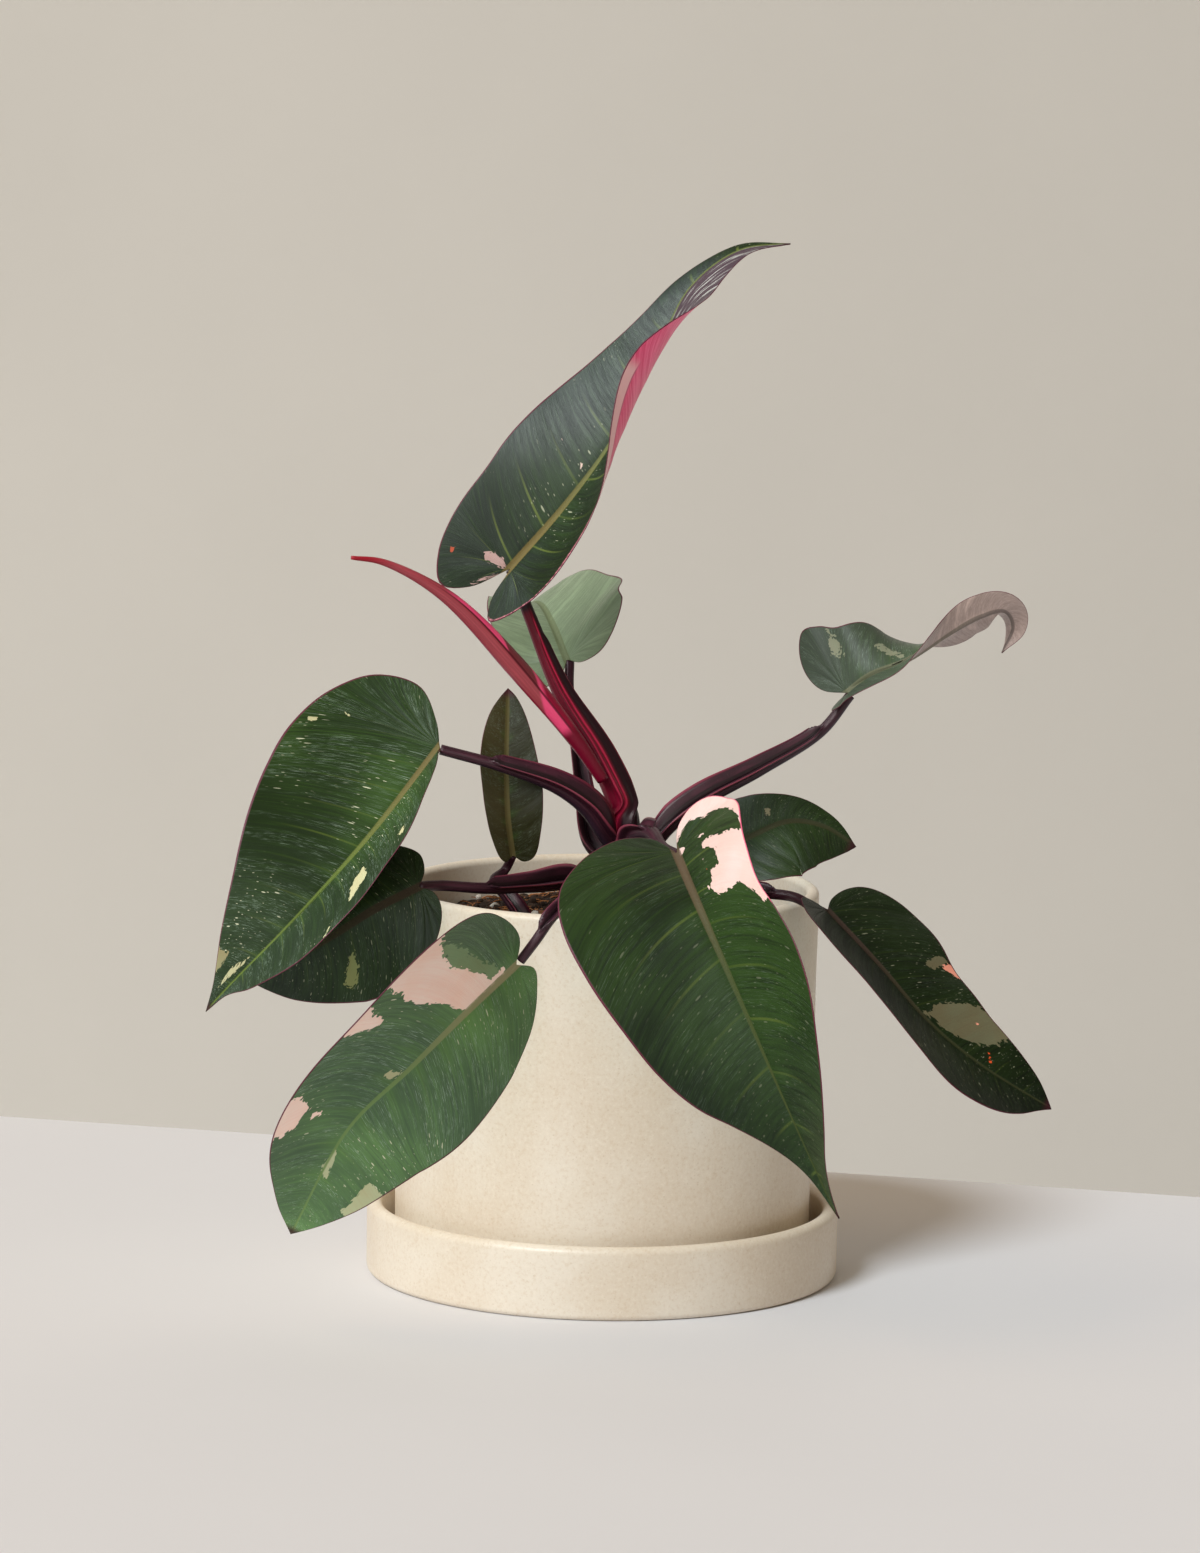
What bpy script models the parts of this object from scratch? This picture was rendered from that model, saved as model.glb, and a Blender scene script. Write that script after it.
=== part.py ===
"""A pink princess philodendron in a straight pot on its matching saucer.

Sizes are in millimetres, and MM turns them into metres where a mesh or curve is made.
The origin is the middle of the saucer's underside, +Z is up and the plant's front faces -Y.
"""
import math

import bmesh
import bpy
import numpy as np
from mathutils import Vector, noise

MM = 0.001
GAP = 0.3                 # clearance kept between pieces that touch

SAUCER_RADIUS = 90.0
SAUCER_HEIGHT = 27.5
SAUCER_WALL = 5.8
SAUCER_FLOOR = 6.0
POT_RADIUS_FOOT = 79.1
POT_RADIUS_RIM = 80.2
POT_RIM_HEIGHT = 149.0
POT_WALL = 4.9
POT_FLOOR = 7.0
DRAIN_RADIUS = 7.0
EDGE_ROUND = 2.4          # rounding of the fired edges
POT_FOOT = SAUCER_FLOOR + GAP
POT_INSIDE = POT_FOOT + POT_FLOOR
ROUND_SIDES = 48

SOIL_EDGE_HEIGHT = 133.0
SOIL_CROWN = 6.0          # rise of the soil from its edge to its middle
SOIL_LUMPS = 1.6
SOIL_RINGS = 8
SOIL_RADIUS = POT_RADIUS_RIM - POT_WALL - 2 * GAP
STEM_RADIUS = 6.0
SPROUT_RADIUS = 2.2       # the small leaf's own stalk, where it enters the soil

BLADE_THICKNESS = 0.8
BLADE_ROWS = 13           # side veins in a half, from the sinus to the tip
BLADE_STEPS = (0.0, 0.3, 0.6, 0.85, 1.0)
CURL_REACH = 40.0         # distance from the midrib at which a curl angle is reached
STALK_STEP = 9.0          # spacing of the points along a stalk
PETIOLE_ROOT = 1.5        # how deep a petiole's foot sits in its pocket in the stem

COLOURS = {
    "ceramic": (0.76, 0.66, 0.51, 0.45),
    "soil": (0.045, 0.028, 0.018, 0.95),
    "stem": (0.05, 0.035, 0.03, 0.5),
    "petiole": (0.09, 0.012, 0.03, 0.35),
    "leaf": (0.035, 0.075, 0.028, 0.3),
    "new_leaf": (0.42, 0.02, 0.07, 0.35),
}

STEM_AXIS = [(2, 4, 114), (2, 4, 138), (5, 2.5, 148), (8.4, 1, 157), (9, 0.2, 162), (8.2, 0.1, 165.5)]

# Each leaf has its midrib from the joint to the tip, the directions its upper face looks in along
# the midrib, the fold of each half out of that face and its further curl, in degrees, and the
# edge of each half as (fraction along the midrib, distance from it), from the sinus to the tip.
LEAVES = {
    "tall": {
        "midrib": [(-39, -3, 269), (-18, -6, 294), (-1, -5, 318), (14, -1, 348), (27, 7, 375),
                   (45, 13, 389), (65, 19, 392)],
        "face": [(-0.4, -0.8, 0.4), (-0.45, -0.7, 0.5), (-0.5, -0.5, 0.65), (-0.3, -0.5, 0.8),
                 (0, -0.5, 0.85)],
        "fold": ([25, 25, 20, 10, 10], [12, 18, 30, 28, 5, 5]),
        "curl": ([-10, -10, -5, 0, 0], [10, 30, 40, 45, 10, 0]),
        "edge": (
            [(-0.09, 7), (-0.13, 16), (-0.08, 25), (0.02, 31), (0.12, 33), (0.25, 35), (0.42, 31),
             (0.56, 21), (0.68, 11), (0.8, 5), (0.92, 2.5)],
            [(-0.08, 4), (-0.11, 10), (-0.07, 16), (0.03, 22), (0.15, 28), (0.28, 35), (0.42, 38),
             (0.58, 34), (0.7, 24), (0.8, 12), (0.91, 3.5)]),
    },
    "left": {
        "midrib": [(-64, -18, 203), (-89, -42, 172), (-114, -59, 145), (-139, -64, 119), (-148, -65, 109)],
        "face": [(-0.15, -0.72, 0.68), (-0.05, -0.85, 0.55), (-0.07, -0.95, 0.25)],
        "fold": ([45, 40], [12]),
        "curl": ([0], [8]),
        "edge": (
            [(0.02, 2), (0.05, 6), (0.1, 11), (0.18, 17), (0.3, 23), (0.48, 26), (0.64, 25),
             (0.77, 19), (0.87, 10), (0.93, 2.5)],
            [(-0.06, 7), (-0.125, 21), (-0.08, 37), (0.04, 47), (0.2, 50), (0.36, 47), (0.52, 40),
             (0.67, 29), (0.81, 17), (0.93, 5)]),
    },
    "low_left": {
        "midrib": [(-70, -51, 155), (-86, -55, 147), (-104, -54, 135), (-121, -49, 125), (-138, -42, 119)],
        "face": [(0.6, -0.5, 0.4), (0.3, -0.9, 0.0), (-0.2, -0.9, -0.3)],
        "fold": ([8], [-30]),
        "curl": ([0], [-12]),
        "edge": (
            [(-0.05, 5), (-0.04, 12), (0.06, 22), (0.2, 28), (0.38, 30), (0.56, 26), (0.74, 17), (0.88, 8)],
            [(-0.06, 5), (-0.08, 13), (0.0, 22), (0.16, 28), (0.36, 29), (0.56, 24), (0.75, 15), (0.9, 6)]),
    },
    "front_left": {
        "midrib": [(-33, -85, 132), (-50, -103, 118), (-71, -115, 98), (-92, -117, 77), (-114, -99, 33)],
        "face": [(0.75, -0.6, 0.2), (0.4, -0.9, -0.1), (-0.2, -0.9, -0.4)],
        "fold": ([8], [8]),
        "curl": ([-10], [25]),
        "edge": (
            [(-0.04, 6), (-0.01, 13), (0.06, 23), (0.17, 30), (0.32, 35), (0.52, 35), (0.68, 31),
             (0.82, 21), (0.92, 10)],
            [(-0.04, 8), (-0.01, 20), (0.09, 33), (0.19, 39), (0.3, 41), (0.42, 38), (0.55, 34),
             (0.66, 29), (0.76, 23), (0.86, 15), (0.94, 8)]),
    },
    "front": {
        "midrib": [(25, -61, 171), (33, -91, 156.5), (46, -108, 130), (66, -116, 87), (86, -108, 44)],
        "face": [(-0.5, -0.45, 0.7), (-0.5, -0.85, 0.1), (-0.7, -0.6, -0.4)],
        "fold": ([22, 14, 14], [34, 26, 16]),
        "curl": ([-15, 10, 20, 20], [0, 10, 15]),
        "edge": (
            [(-0.06, 5), (-0.075, 13), (-0.055, 22), (0.01, 29.5), (0.09, 33), (0.19, 30.5), (0.27, 30),
             (0.34, 34), (0.42, 37.5), (0.51, 37), (0.62, 31), (0.76, 18), (0.88, 6)],
            [(-0.06, 7), (-0.07, 17), (-0.03, 30), (0.04, 41), (0.11, 48), (0.2, 51), (0.3, 49),
             (0.42, 44), (0.54, 38), (0.64, 30), (0.71, 21), (0.79, 12), (0.88, 4.5)]),
    },
    "right": {
        "midrib": [(82, -42, 147), (101, -57, 129), (120, -66, 109), (139, -67, 94), (166, -62, 77)],
        "face": [(0.25, -0.45, 0.85), (0.45, -0.6, 0.65), (0.4, -0.85, 0.35)],
        "fold": ([12], [25]),
        "curl": ([-15], [5]),
        "edge": (
            [(-0.03, 5), (-0.04, 14), (-0.01, 22), (0.1, 29), (0.24, 31), (0.4, 28), (0.55, 24),
             (0.68, 19), (0.8, 14), (0.91, 8)],
            [(-0.04, 5), (-0.05, 13), (0.02, 21), (0.14, 26), (0.32, 28), (0.5, 30), (0.64, 31),
             (0.76, 25), (0.88, 13), (0.95, 5)]),
    },
    "back_right": {
        "midrib": [(46, 15, 161), (56, 14, 167), (69, 16, 172), (82, 18, 170), (95, 20, 162)],
        "face": [(-0.4, -0.8, 0.5), (0.1, -0.85, 0.5), (0.4, -0.75, 0.5)],
        "fold": ([12], [12]),
        "curl": ([0], [0]),
        "edge": (
            [(-0.08, 5), (-0.08, 11), (0.05, 16), (0.28, 15), (0.5, 10), (0.72, 6), (0.88, 3)],
            [(-0.08, 5), (-0.08, 12), (0.06, 19), (0.26, 24), (0.48, 25), (0.68, 21), (0.84, 14), (0.94, 6)]),
    },
    "high_right": {
        "midrib": [(90, 14, 222), (98, 10, 229), (112, 12, 235), (127, 18, 244), (140, 23, 251),
                   (150, 28, 253), (154, 34, 246), (150, 34, 236)],
        "face": [(-0.3, -0.6, 0.7), (-0.15, -0.5, 0.85), (0.0, 0.3, 1.0), (0.0, 0.8, 0.6),
                 (0.4, 0.8, 0.4), (0.9, 0.4, -0.2)],
        "fold": ([30, 15, 10], [30, 20, 10]),
        "curl": ([0], [0]),
        "edge": (
            [(-0.09, 7), (-0.12, 16), (-0.1, 25), (-0.04, 31), (0.03, 29), (0.1, 24), (0.2, 22),
             (0.34, 19), (0.5, 14), (0.66, 10), (0.82, 7), (0.94, 3)],
            [(-0.06, 4), (-0.06, 9), (0.02, 13), (0.16, 14), (0.34, 12), (0.5, 9), (0.66, 9),
             (0.82, 7), (0.94, 3)]),
    },
    "back": {
        "midrib": [(-17, 40, 230), (-22, 54, 240), (-28, 78, 247), (-34, 104, 243), (-39, 126, 229)],
        "face": [(-0.45, 0.6, 0.7), (-0.45, 0.35, 0.85), (-0.4, 0, 0.95), (-0.3, -0.3, 0.9)],
        "fold": ([30], [12]),
        "curl": ([0], [0]),
        "edge": (
            [(-0.08, 5), (-0.11, 12), (-0.04, 19), (0.1, 23), (0.3, 24), (0.5, 20), (0.7, 13), (0.87, 6)],
            [(-0.08, 6), (-0.12, 16), (-0.09, 27), (0.0, 35), (0.14, 34), (0.3, 28), (0.5, 22),
             (0.7, 15), (0.87, 7)]),
    },
    "small": {
        "midrib": [(-36, -11, 161), (-38, -11, 175), (-39, -7, 194), (-39, -2, 210), (-39, 4, 223)],
        "face": [(0.0, -0.9, 0.2), (0, -0.9, -0.2)],
        "fold": ([12], [12]),
        "curl": ([0], [0]),
        "edge": (
            [(-0.03, 3), (0.0, 5), (0.12, 7), (0.35, 9), (0.62, 10), (0.83, 7), (0.94, 3)],
            [(-0.04, 4), (-0.02, 8), (0.12, 12), (0.34, 14), (0.57, 12), (0.83, 7), (0.95, 3)]),
    },
}

# A petiole leaves the stem at a height and an angle round it, passes through its points and ends
# under its leaf's joint, or in its sinus that far short of the joint. Its radius runs from its
# foot in the stem, over its sheath, to the joint.
PETIOLES = {
    "left": {"height": 158, "angle": 211, "radius": (2.4, 3.6, 3.0, 2.2, 2.0),
             "path": [(-2, -9, 171), (-8, -12, 180), (-19, -14, 188), (-41, -17, 196)]},
    "low_left": {"height": 145, "angle": 190, "radius": (2.4, 3.2, 2.6, 2.1, 2.0),
                 "path": [(-12, -6, 150.5), (-29, -26, 152), (-46, -40, 153), (-62, -45, 154.5)]},
    "front_left": {"height": 148, "angle": 247, "radius": (2.4, 3.0, 2.4, 2.0, 1.8), "in_sinus": 2.3,
                   "path": [(-3, -20, 151), (-10, -50, 152), (-15, -73, 152.7), (-20.5, -82.3, 149),
                            (-26, -84.2, 141)]},
    "front": {"height": 154, "angle": 287, "radius": (2.4, 3.2, 3.0, 2.4, 2.0),
              "path": [(10, -17, 170), (16, -35, 174), (20.5, -52.5, 171)]},
    "right": {"height": 146, "angle": 324, "radius": (2.4, 2.8, 2.3, 2.0, 1.8),
              "path": [(35, -20, 152.5), (59, -34, 152), (70, -40, 151.4), (76, -41, 148.4)]},
    "back_right": {"height": 150, "angle": 30, "radius": (2.3, 2.6, 2.1, 1.8),
                   "path": [(27, 14, 157), (38, 17, 157)]},
    "high_right": {"height": 158, "angle": 355, "radius": (2.4, 3.2, 2.8, 2.2, 1.9),
                   "path": [(23, 0, 172), (36, 3, 182), (57, 8, 193), (80, 13, 207)]},
    "back": {"height": 154, "angle": 140, "radius": (2.4, 3.0, 2.4, 2.0, 1.8),
             "path": [(-7, 14, 163), (-10, 19, 179), (-13, 26, 199), (-16, 35, 219)]},
}
TALL_PETIOLE = {"radius": (5.4, 5.3, 4.7, 3.4, 2.5, 2.2),
                "path": [(5, 0.5, 179), (-3, 1, 197), (-19, 1, 223), (-32, 1, 253)]}
SPROUT_PETIOLE = {"radius": (SPROUT_RADIUS, SPROUT_RADIUS, 2.2, 2.0, 1.8, 1.6),
                  "path": [(-32, -27, 122), (-32, -27, 130), (-32.4, -26.8, 139), (-38, -22, 147),
                           (-43, -15, 152), (-39, -8, 155)]}
NEW_LEAF = {"radius": (2.2, 3.2, 3.9, 3.2, 1.8, 0.7),
            "path": [(-2.5, -6.6, 190), (-12.5, -10.5, 205), (-36, -18, 234), (-62, -28, 261),
                     (-85, -36, 274), (-97, -40, 276)]}


def clear_scene():
    for item in list(bpy.data.objects):
        bpy.data.objects.remove(item, do_unlink=True)


def new_collection(name):
    collection = bpy.data.collections.new(name)
    bpy.context.scene.collection.children.link(collection)
    return collection


def finish_for(piece, colour_name):
    red, green, blue, roughness = COLOURS[colour_name]
    material = bpy.data.materials.new(piece.name)
    material.use_nodes = True
    shader = material.node_tree.nodes["Principled BSDF"]
    shader.inputs["Base Color"].default_value = (red, green, blue, 1)
    shader.inputs["Roughness"].default_value = roughness
    shader.inputs["Metallic"].default_value = 0
    piece.data.materials.append(material)


def put(piece, collection, colour_name=None):
    for other in list(piece.users_collection):
        other.objects.unlink(piece)
    collection.objects.link(piece)
    if colour_name:
        finish_for(piece, colour_name)
    return piece


def hide_cutter(piece):
    piece.hide_render = True
    piece.display_type = "WIRE"


def through_knots(knots, values, at):
    """Smooth values at the given places, through values known at increasing knots."""
    values = np.asarray(values, float)
    slopes = np.gradient(values, knots, axis=0)
    span = np.clip(np.searchsorted(knots, at, side="right") - 1, 0, len(knots) - 2)
    width = (knots[span + 1] - knots[span])[:, None]
    f = ((at - knots[span])[:, None]) / width
    return ((2 * f**3 - 3 * f**2 + 1) * values[span] + (f**3 - 2 * f**2 + f) * width * slopes[span]
            + (3 * f**2 - 2 * f**3) * values[span + 1] + (f**3 - f**2) * width * slopes[span + 1])


def smooth_line(points, count):
    """Points evenly spaced along the smooth line through the given points, and its length."""
    points = np.asarray(points, float)
    steps = np.sqrt(np.linalg.norm(np.diff(points, axis=0), axis=1))
    knots = np.concatenate([[0], np.cumsum(steps)])
    dense = through_knots(knots, points, np.linspace(0, knots[-1], 1200))
    travelled = np.concatenate([[0], np.cumsum(np.linalg.norm(np.diff(dense, axis=0), axis=1))])
    places = np.linspace(0, travelled[-1], count)
    line = np.stack([np.interp(places, travelled, dense[:, k]) for k in range(points.shape[1])], 1)
    return line, travelled[-1]


def along(values, at):
    """Smooth values along a leaf, through values at evenly spaced stations from joint to tip."""
    values = np.asarray(values, float)
    if values.ndim == 1:
        values = values[:, None]
    if len(values) == 1:
        return np.repeat(values, len(at), 0)
    return through_knots(np.linspace(0, 1, len(values)), values, np.clip(at, 0, 1))


def unit(vectors):
    return vectors / np.linalg.norm(vectors, axis=-1, keepdims=True)


def leaf_frame(leaf, count=240):
    """The midrib's points with its forward, upper-face and right-hand directions."""
    line, length = smooth_line(leaf["midrib"], count)
    forward = unit(np.gradient(line, axis=0))
    face = along(leaf["face"], np.linspace(0, 1, count))
    face = unit(face - (face * forward).sum(1, keepdims=True) * forward)
    return line, forward, face, np.cross(forward, face), length


def leaf_surface(leaf, x, y):
    """Points of a leaf's middle surface, x along the midrib and y mm to its right."""
    line, forward, face, right, length = leaf_frame(leaf)
    inside = np.clip(x, 0, 1)
    places = np.linspace(0, 1, len(line))

    def pick(rows):
        return np.stack([np.interp(inside, places, rows[:, k]) for k in range(3)], 1)

    middle = pick(line) + unit(pick(forward)) * ((x - inside) * length)[:, None]

    def bend(key):
        left, right = (along(half, inside)[:, 0] for half in leaf[key])
        return np.radians(np.where(y > 0, right, left))

    fold, curl = bend("fold"), bend("curl")
    reach = np.abs(y)
    out = np.zeros_like(reach)
    rise = np.zeros_like(reach)
    samples, weights = np.polynomial.legendre.leggauss(8)
    for sample, weight in zip((samples + 1) / 2, weights / 2):
        angle = fold + curl * reach * sample / CURL_REACH
        out += weight * np.cos(angle) * reach
        rise += weight * np.sin(angle) * reach
    return middle + unit(pick(right)) * (np.sign(y) * out)[:, None] + unit(pick(face)) * rise[:, None]


def leaf_edge(leaf, side, length):
    """A half's edge and where each of its side veins leaves the midrib, along 400 even steps."""
    points = [(0, 0)] + leaf["edge"][side] + [(1, 0)]
    line, _ = smooth_line(np.asarray(points) * [length, 1], 400)
    x, y = line[:, 0] / length, np.maximum(line[:, 1], 0)
    lead = x - 0.55 * y / length
    root = np.maximum.accumulate(0.5 * (lead + np.sqrt(lead * lead + 0.0004)))
    root = (root - root[0]) / (root[-1] - root[0])
    return x, y, root


def blade_points(leaf, rows, steps):
    """Grid of points on the leaf, one row for each side vein, from the left edge to the right."""
    length = leaf_frame(leaf)[4]
    p = np.linspace(0, 1, rows)
    halves = []
    for side, sign in ((0, -1), (1, 1)):
        edge_x, edge_y, root = (np.interp(p, np.linspace(0, 1, 400), values)[:, None]
                                for values in leaf_edge(leaf, side, length))
        t = np.asarray(steps)[None, :]
        bend_x, bend_y = root + 0.3 * (edge_x - root), 0.6 * edge_y
        x = (1 - t) ** 2 * root + 2 * t * (1 - t) * bend_x + t ** 2 * edge_x
        y = 2 * t * (1 - t) * bend_y + t ** 2 * edge_y
        half = leaf_surface(leaf, x.ravel(), sign * y.ravel()).reshape(rows, len(steps), 3)
        halves.append(half)
    return np.concatenate([halves[0][:, :0:-1], halves[1]], axis=1)


def new_leaf_blade(name, collection):
    """A thin waved blade: a grid along its side veins, thickened evenly."""
    grid = blade_points(LEAVES[name], BLADE_ROWS, BLADE_STEPS)
    rows, columns = grid.shape[:2]
    shape = bmesh.new()
    corners = [[shape.verts.new(Vector(point) * MM) for point in row] for row in grid]
    for i in range(rows - 1):
        for j in range(columns - 1):
            quad = (corners[i][j], corners[i + 1][j], corners[i + 1][j + 1], corners[i][j + 1])
            shape.faces.new(quad)
    bmesh.ops.remove_doubles(shape, verts=shape.verts, dist=0.15 * MM)
    bmesh.ops.triangulate(shape, faces=shape.faces, quad_method="FIXED")
    mesh = bpy.data.meshes.new("leaf_" + name)
    shape.to_mesh(mesh)
    shape.free()
    blade = put(bpy.data.objects.new("leaf_" + name, mesh), collection, "leaf")
    skin = blade.modifiers.new("thickness", "SOLIDIFY")
    skin.thickness = BLADE_THICKNESS * MM
    skin.offset = 0
    mesh.shade_smooth()
    mesh.set_sharp_from_angle(angle=math.radians(60))
    return blade


def stalk_line(points):
    """The evenly spaced points a stalk is swept through."""
    length = smooth_line(points, 10)[1]
    return smooth_line(points, max(6, round(length / STALK_STEP) + 1))[0]


def tube(name, points, radii, collection, colour_name=None, rounding=2, swell=0, lead=0):
    """A round stalk through the points, its radius passing smoothly through the radii.

    swell widens it all along and lead starts it that much earlier, for a pocket round its foot.
    """
    line = stalk_line(points)
    count = len(line)
    widths = along(radii, np.linspace(0, 1, count))[:, 0] + swell
    line[0] -= unit(line[1] - line[0]) * lead
    curve = bpy.data.curves.new(name, "CURVE")
    curve.dimensions = "3D"
    curve.bevel_depth = MM
    curve.bevel_resolution = rounding
    curve.use_fill_caps = True
    spline = curve.splines.new("POLY")
    spline.points.add(count - 1)
    for point, place, width in zip(spline.points, line, widths):
        point.co = (*(place * MM), 1)
        point.radius = width
    return put(bpy.data.objects.new(name, curve), collection, colour_name)


def stem_place(height):
    """Middle of the main stem at a height."""
    line, _ = smooth_line(STEM_AXIS, 200)
    return np.array([np.interp(height, line[:, 2], line[:, k]) for k in range(3)])


def petiole_start(petiole):
    """The point inside the stem's skin from which a petiole sets off."""
    angle = math.radians(petiole["angle"])
    outward = np.array([math.cos(angle), math.sin(angle), 0])
    return stem_place(petiole["height"]) + outward * (STEM_RADIUS - PETIOLE_ROOT)


def petiole_end(name, petiole):
    """The point under the leaf's joint where a petiole stops, just short of the blade."""
    line, forward, face, _, _ = leaf_frame(LEAVES[name])
    if "in_sinus" in petiole:
        return line[0] - forward[0] * petiole["in_sinus"]
    onward = unit(line[0] - np.array(petiole["path"][-1]))
    slant = math.sqrt(max(0, 1 - float(onward @ face[0]) ** 2)) * petiole["radius"][-1]
    return line[0] - face[0] * (BLADE_THICKNESS / 2 + 2.4 * GAP + slant)


def petiole_points(name, petiole, start=None):
    return ([] if start is None else [start]) + petiole["path"] + [petiole_end(name, petiole)]


def add_petiole(name, petiole, start, collection):
    points = petiole_points(name, petiole, start)
    return tube("petiole_" + name, points, petiole["radius"], collection, "petiole")


def arc(x, z, radius, first, last, steps=3):
    """Points of an arc round (x, z), from one angle to another, in degrees."""
    angles = np.radians(np.linspace(first, last, steps + 1))
    return [(x + radius * math.cos(a), z + radius * math.sin(a)) for a in angles]


def turned(name, profile, collection, colour_name=None, sides=ROUND_SIDES):
    """A turned piece: its profile spun once round the Z axis."""
    mesh = bpy.data.meshes.new(name)
    corners = [(x * MM, 0, z * MM) for x, z in profile]
    closed = profile[0][0] > 0 and profile[-1][0] > 0
    count = len(corners)
    edges = [(k, (k + 1) % count) for k in range(count if closed else count - 1)]
    mesh.from_pydata(corners, edges, [])
    piece = put(bpy.data.objects.new(name, mesh), collection, colour_name)
    spin = piece.modifiers.new("turn", "SCREW")
    spin.steps = sides
    spin.render_steps = sides
    spin.use_merge_vertices = True
    spin.merge_threshold = 0.00001
    spin.use_smooth_shade = True
    return piece


def build_saucer(collection):
    inner = SAUCER_RADIUS - SAUCER_WALL
    lip = SAUCER_WALL / 2
    profile = [(0, SAUCER_FLOOR)]
    profile += arc(inner - EDGE_ROUND, SAUCER_FLOOR + EDGE_ROUND, EDGE_ROUND, -90, 0)
    profile += arc(SAUCER_RADIUS - lip, SAUCER_HEIGHT - lip, lip, 180, 0, 6)
    profile += arc(SAUCER_RADIUS - EDGE_ROUND, EDGE_ROUND, EDGE_ROUND, 0, -90)
    profile += [(0, 0)]
    return turned("saucer", profile, collection, "ceramic")


def pot_radius(height):
    """Outer radius of the pot's slightly widening wall."""
    rise = (height - POT_FOOT) / (POT_RIM_HEIGHT - POT_FOOT)
    return POT_RADIUS_FOOT + (POT_RADIUS_RIM - POT_RADIUS_FOOT) * rise


def build_pot(collection):
    lip = POT_WALL / 2
    inner_foot = pot_radius(POT_INSIDE) - POT_WALL
    profile = [(DRAIN_RADIUS, POT_INSIDE)]
    profile += arc(inner_foot - EDGE_ROUND, POT_INSIDE + EDGE_ROUND, EDGE_ROUND, -90, 0)
    profile += arc(POT_RADIUS_RIM - lip, POT_RIM_HEIGHT - lip, lip, 180, 0, 6)
    profile += arc(POT_RADIUS_FOOT - EDGE_ROUND, POT_FOOT + EDGE_ROUND, EDGE_ROUND, 0, -90)
    profile += [(DRAIN_RADIUS, POT_FOOT)]
    return turned("pot", profile, collection, "ceramic")


def soil_height(x, y):
    """Height of the potting mix: a low mound with lumps, level with the fill line at the wall."""
    radius = SOIL_RADIUS
    mound = SOIL_CROWN * max(0.0, 1 - (x * x + y * y) / radius ** 2)
    lumps = SOIL_LUMPS * noise.noise(Vector((x / 11, y / 11, 3.0)))
    lumps += 0.4 * SOIL_LUMPS * noise.noise(Vector((x / 4.5, y / 4.5, 8.0)))
    return SOIL_EDGE_HEIGHT + mound + lumps


def build_soil(collection, cutters):
    """The filled pot's mix as one solid, with plain holes for the stem and the small leaf's stalk."""
    bottom = POT_INSIDE + GAP
    foot = pot_radius(bottom) - POT_WALL - GAP - 2 * EDGE_ROUND
    rings = [(SOIL_RADIUS * k / SOIL_RINGS, SOIL_EDGE_HEIGHT) for k in range(SOIL_RINGS + 1)]
    profile = rings + [(pot_radius(bottom + 3 * EDGE_ROUND) - POT_WALL - GAP, bottom + 3 * EDGE_ROUND),
                       (foot, bottom), (0, bottom)]
    soil = as_mesh(turned("soil", profile, collection))
    finish_for(soil, "soil")
    for corner in soil.data.vertices:
        x, y, z = corner.co / MM
        if z > SOIL_EDGE_HEIGHT - 1:
            corner.co.z = soil_height(x, y) * MM
    sockets = (("stem_hole", STEM_AXIS[0], STEM_RADIUS),
               ("sprout_hole", SPROUT_PETIOLE["path"][0], SPROUT_RADIUS))
    for name, place, radius in sockets:
        bpy.ops.mesh.primitive_cylinder_add(vertices=16, radius=(radius + 2 * GAP) * MM, depth=60 * MM)
        cutter = put(bpy.context.object, cutters)
        cutter.name = name
        cutter.location = Vector((place[0], place[1], place[2] - GAP + 30)) * MM
        hide_cutter(cutter)
        cut = soil.modifiers.new(name, "BOOLEAN")
        cut.operation = "DIFFERENCE"
        cut.object = cutter
    return soil


def as_mesh(piece):
    """The same piece as a plain mesh: modifiers and curves made into faces, caps welded on."""
    bpy.context.view_layer.update()
    mesh = bpy.data.meshes.new_from_object(piece.evaluated_get(bpy.context.evaluated_depsgraph_get()))
    shape = bmesh.new()
    shape.from_mesh(mesh)
    bmesh.ops.remove_doubles(shape, verts=shape.verts, dist=0.01 * MM)
    shape.to_mesh(mesh)
    shape.free()
    solid = bpy.data.objects.new(piece.name, mesh)
    solid.matrix_world = piece.matrix_world
    for collection in piece.users_collection:
        collection.objects.link(solid)
    name = piece.name
    bpy.data.objects.remove(piece, do_unlink=True)
    solid.name = name
    return solid


def build_stem(collection, cutters):
    """The main stem, with a pocket for the foot of each petiole."""
    stem = as_mesh(tube("stem", STEM_AXIS, [STEM_RADIUS], collection, "stem", 3))
    for name, petiole in PETIOLES.items():
        points = petiole_points(name, petiole, petiole_start(petiole))
        cutter = as_mesh(tube("pocket_" + name, points, petiole["radius"], cutters,
                              swell=1.5 * GAP, lead=2 * GAP))
        hide_cutter(cutter)
        cut = stem.modifiers.new(cutter.name, "BOOLEAN")
        cut.operation = "DIFFERENCE"
        cut.object = cutter


def build_plant(collection, cutters):
    build_stem(collection, cutters)
    for name in LEAVES:
        new_leaf_blade(name, collection)
    for name, petiole in PETIOLES.items():
        add_petiole(name, petiole, petiole_start(petiole), collection)
    top, below = stalk_line(STEM_AXIS)[:-3:-1]
    upward = unit(top - below)
    onward = unit(np.array(TALL_PETIOLE["path"][0]) - top)
    slant = math.sqrt(1 - float(onward @ upward) ** 2) * TALL_PETIOLE["radius"][0]
    add_petiole("tall", TALL_PETIOLE, top + onward * (GAP + slant), collection)
    add_petiole("small", SPROUT_PETIOLE, None, collection)
    tube("new_leaf", NEW_LEAF["path"], NEW_LEAF["radius"], collection, "new_leaf")


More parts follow.
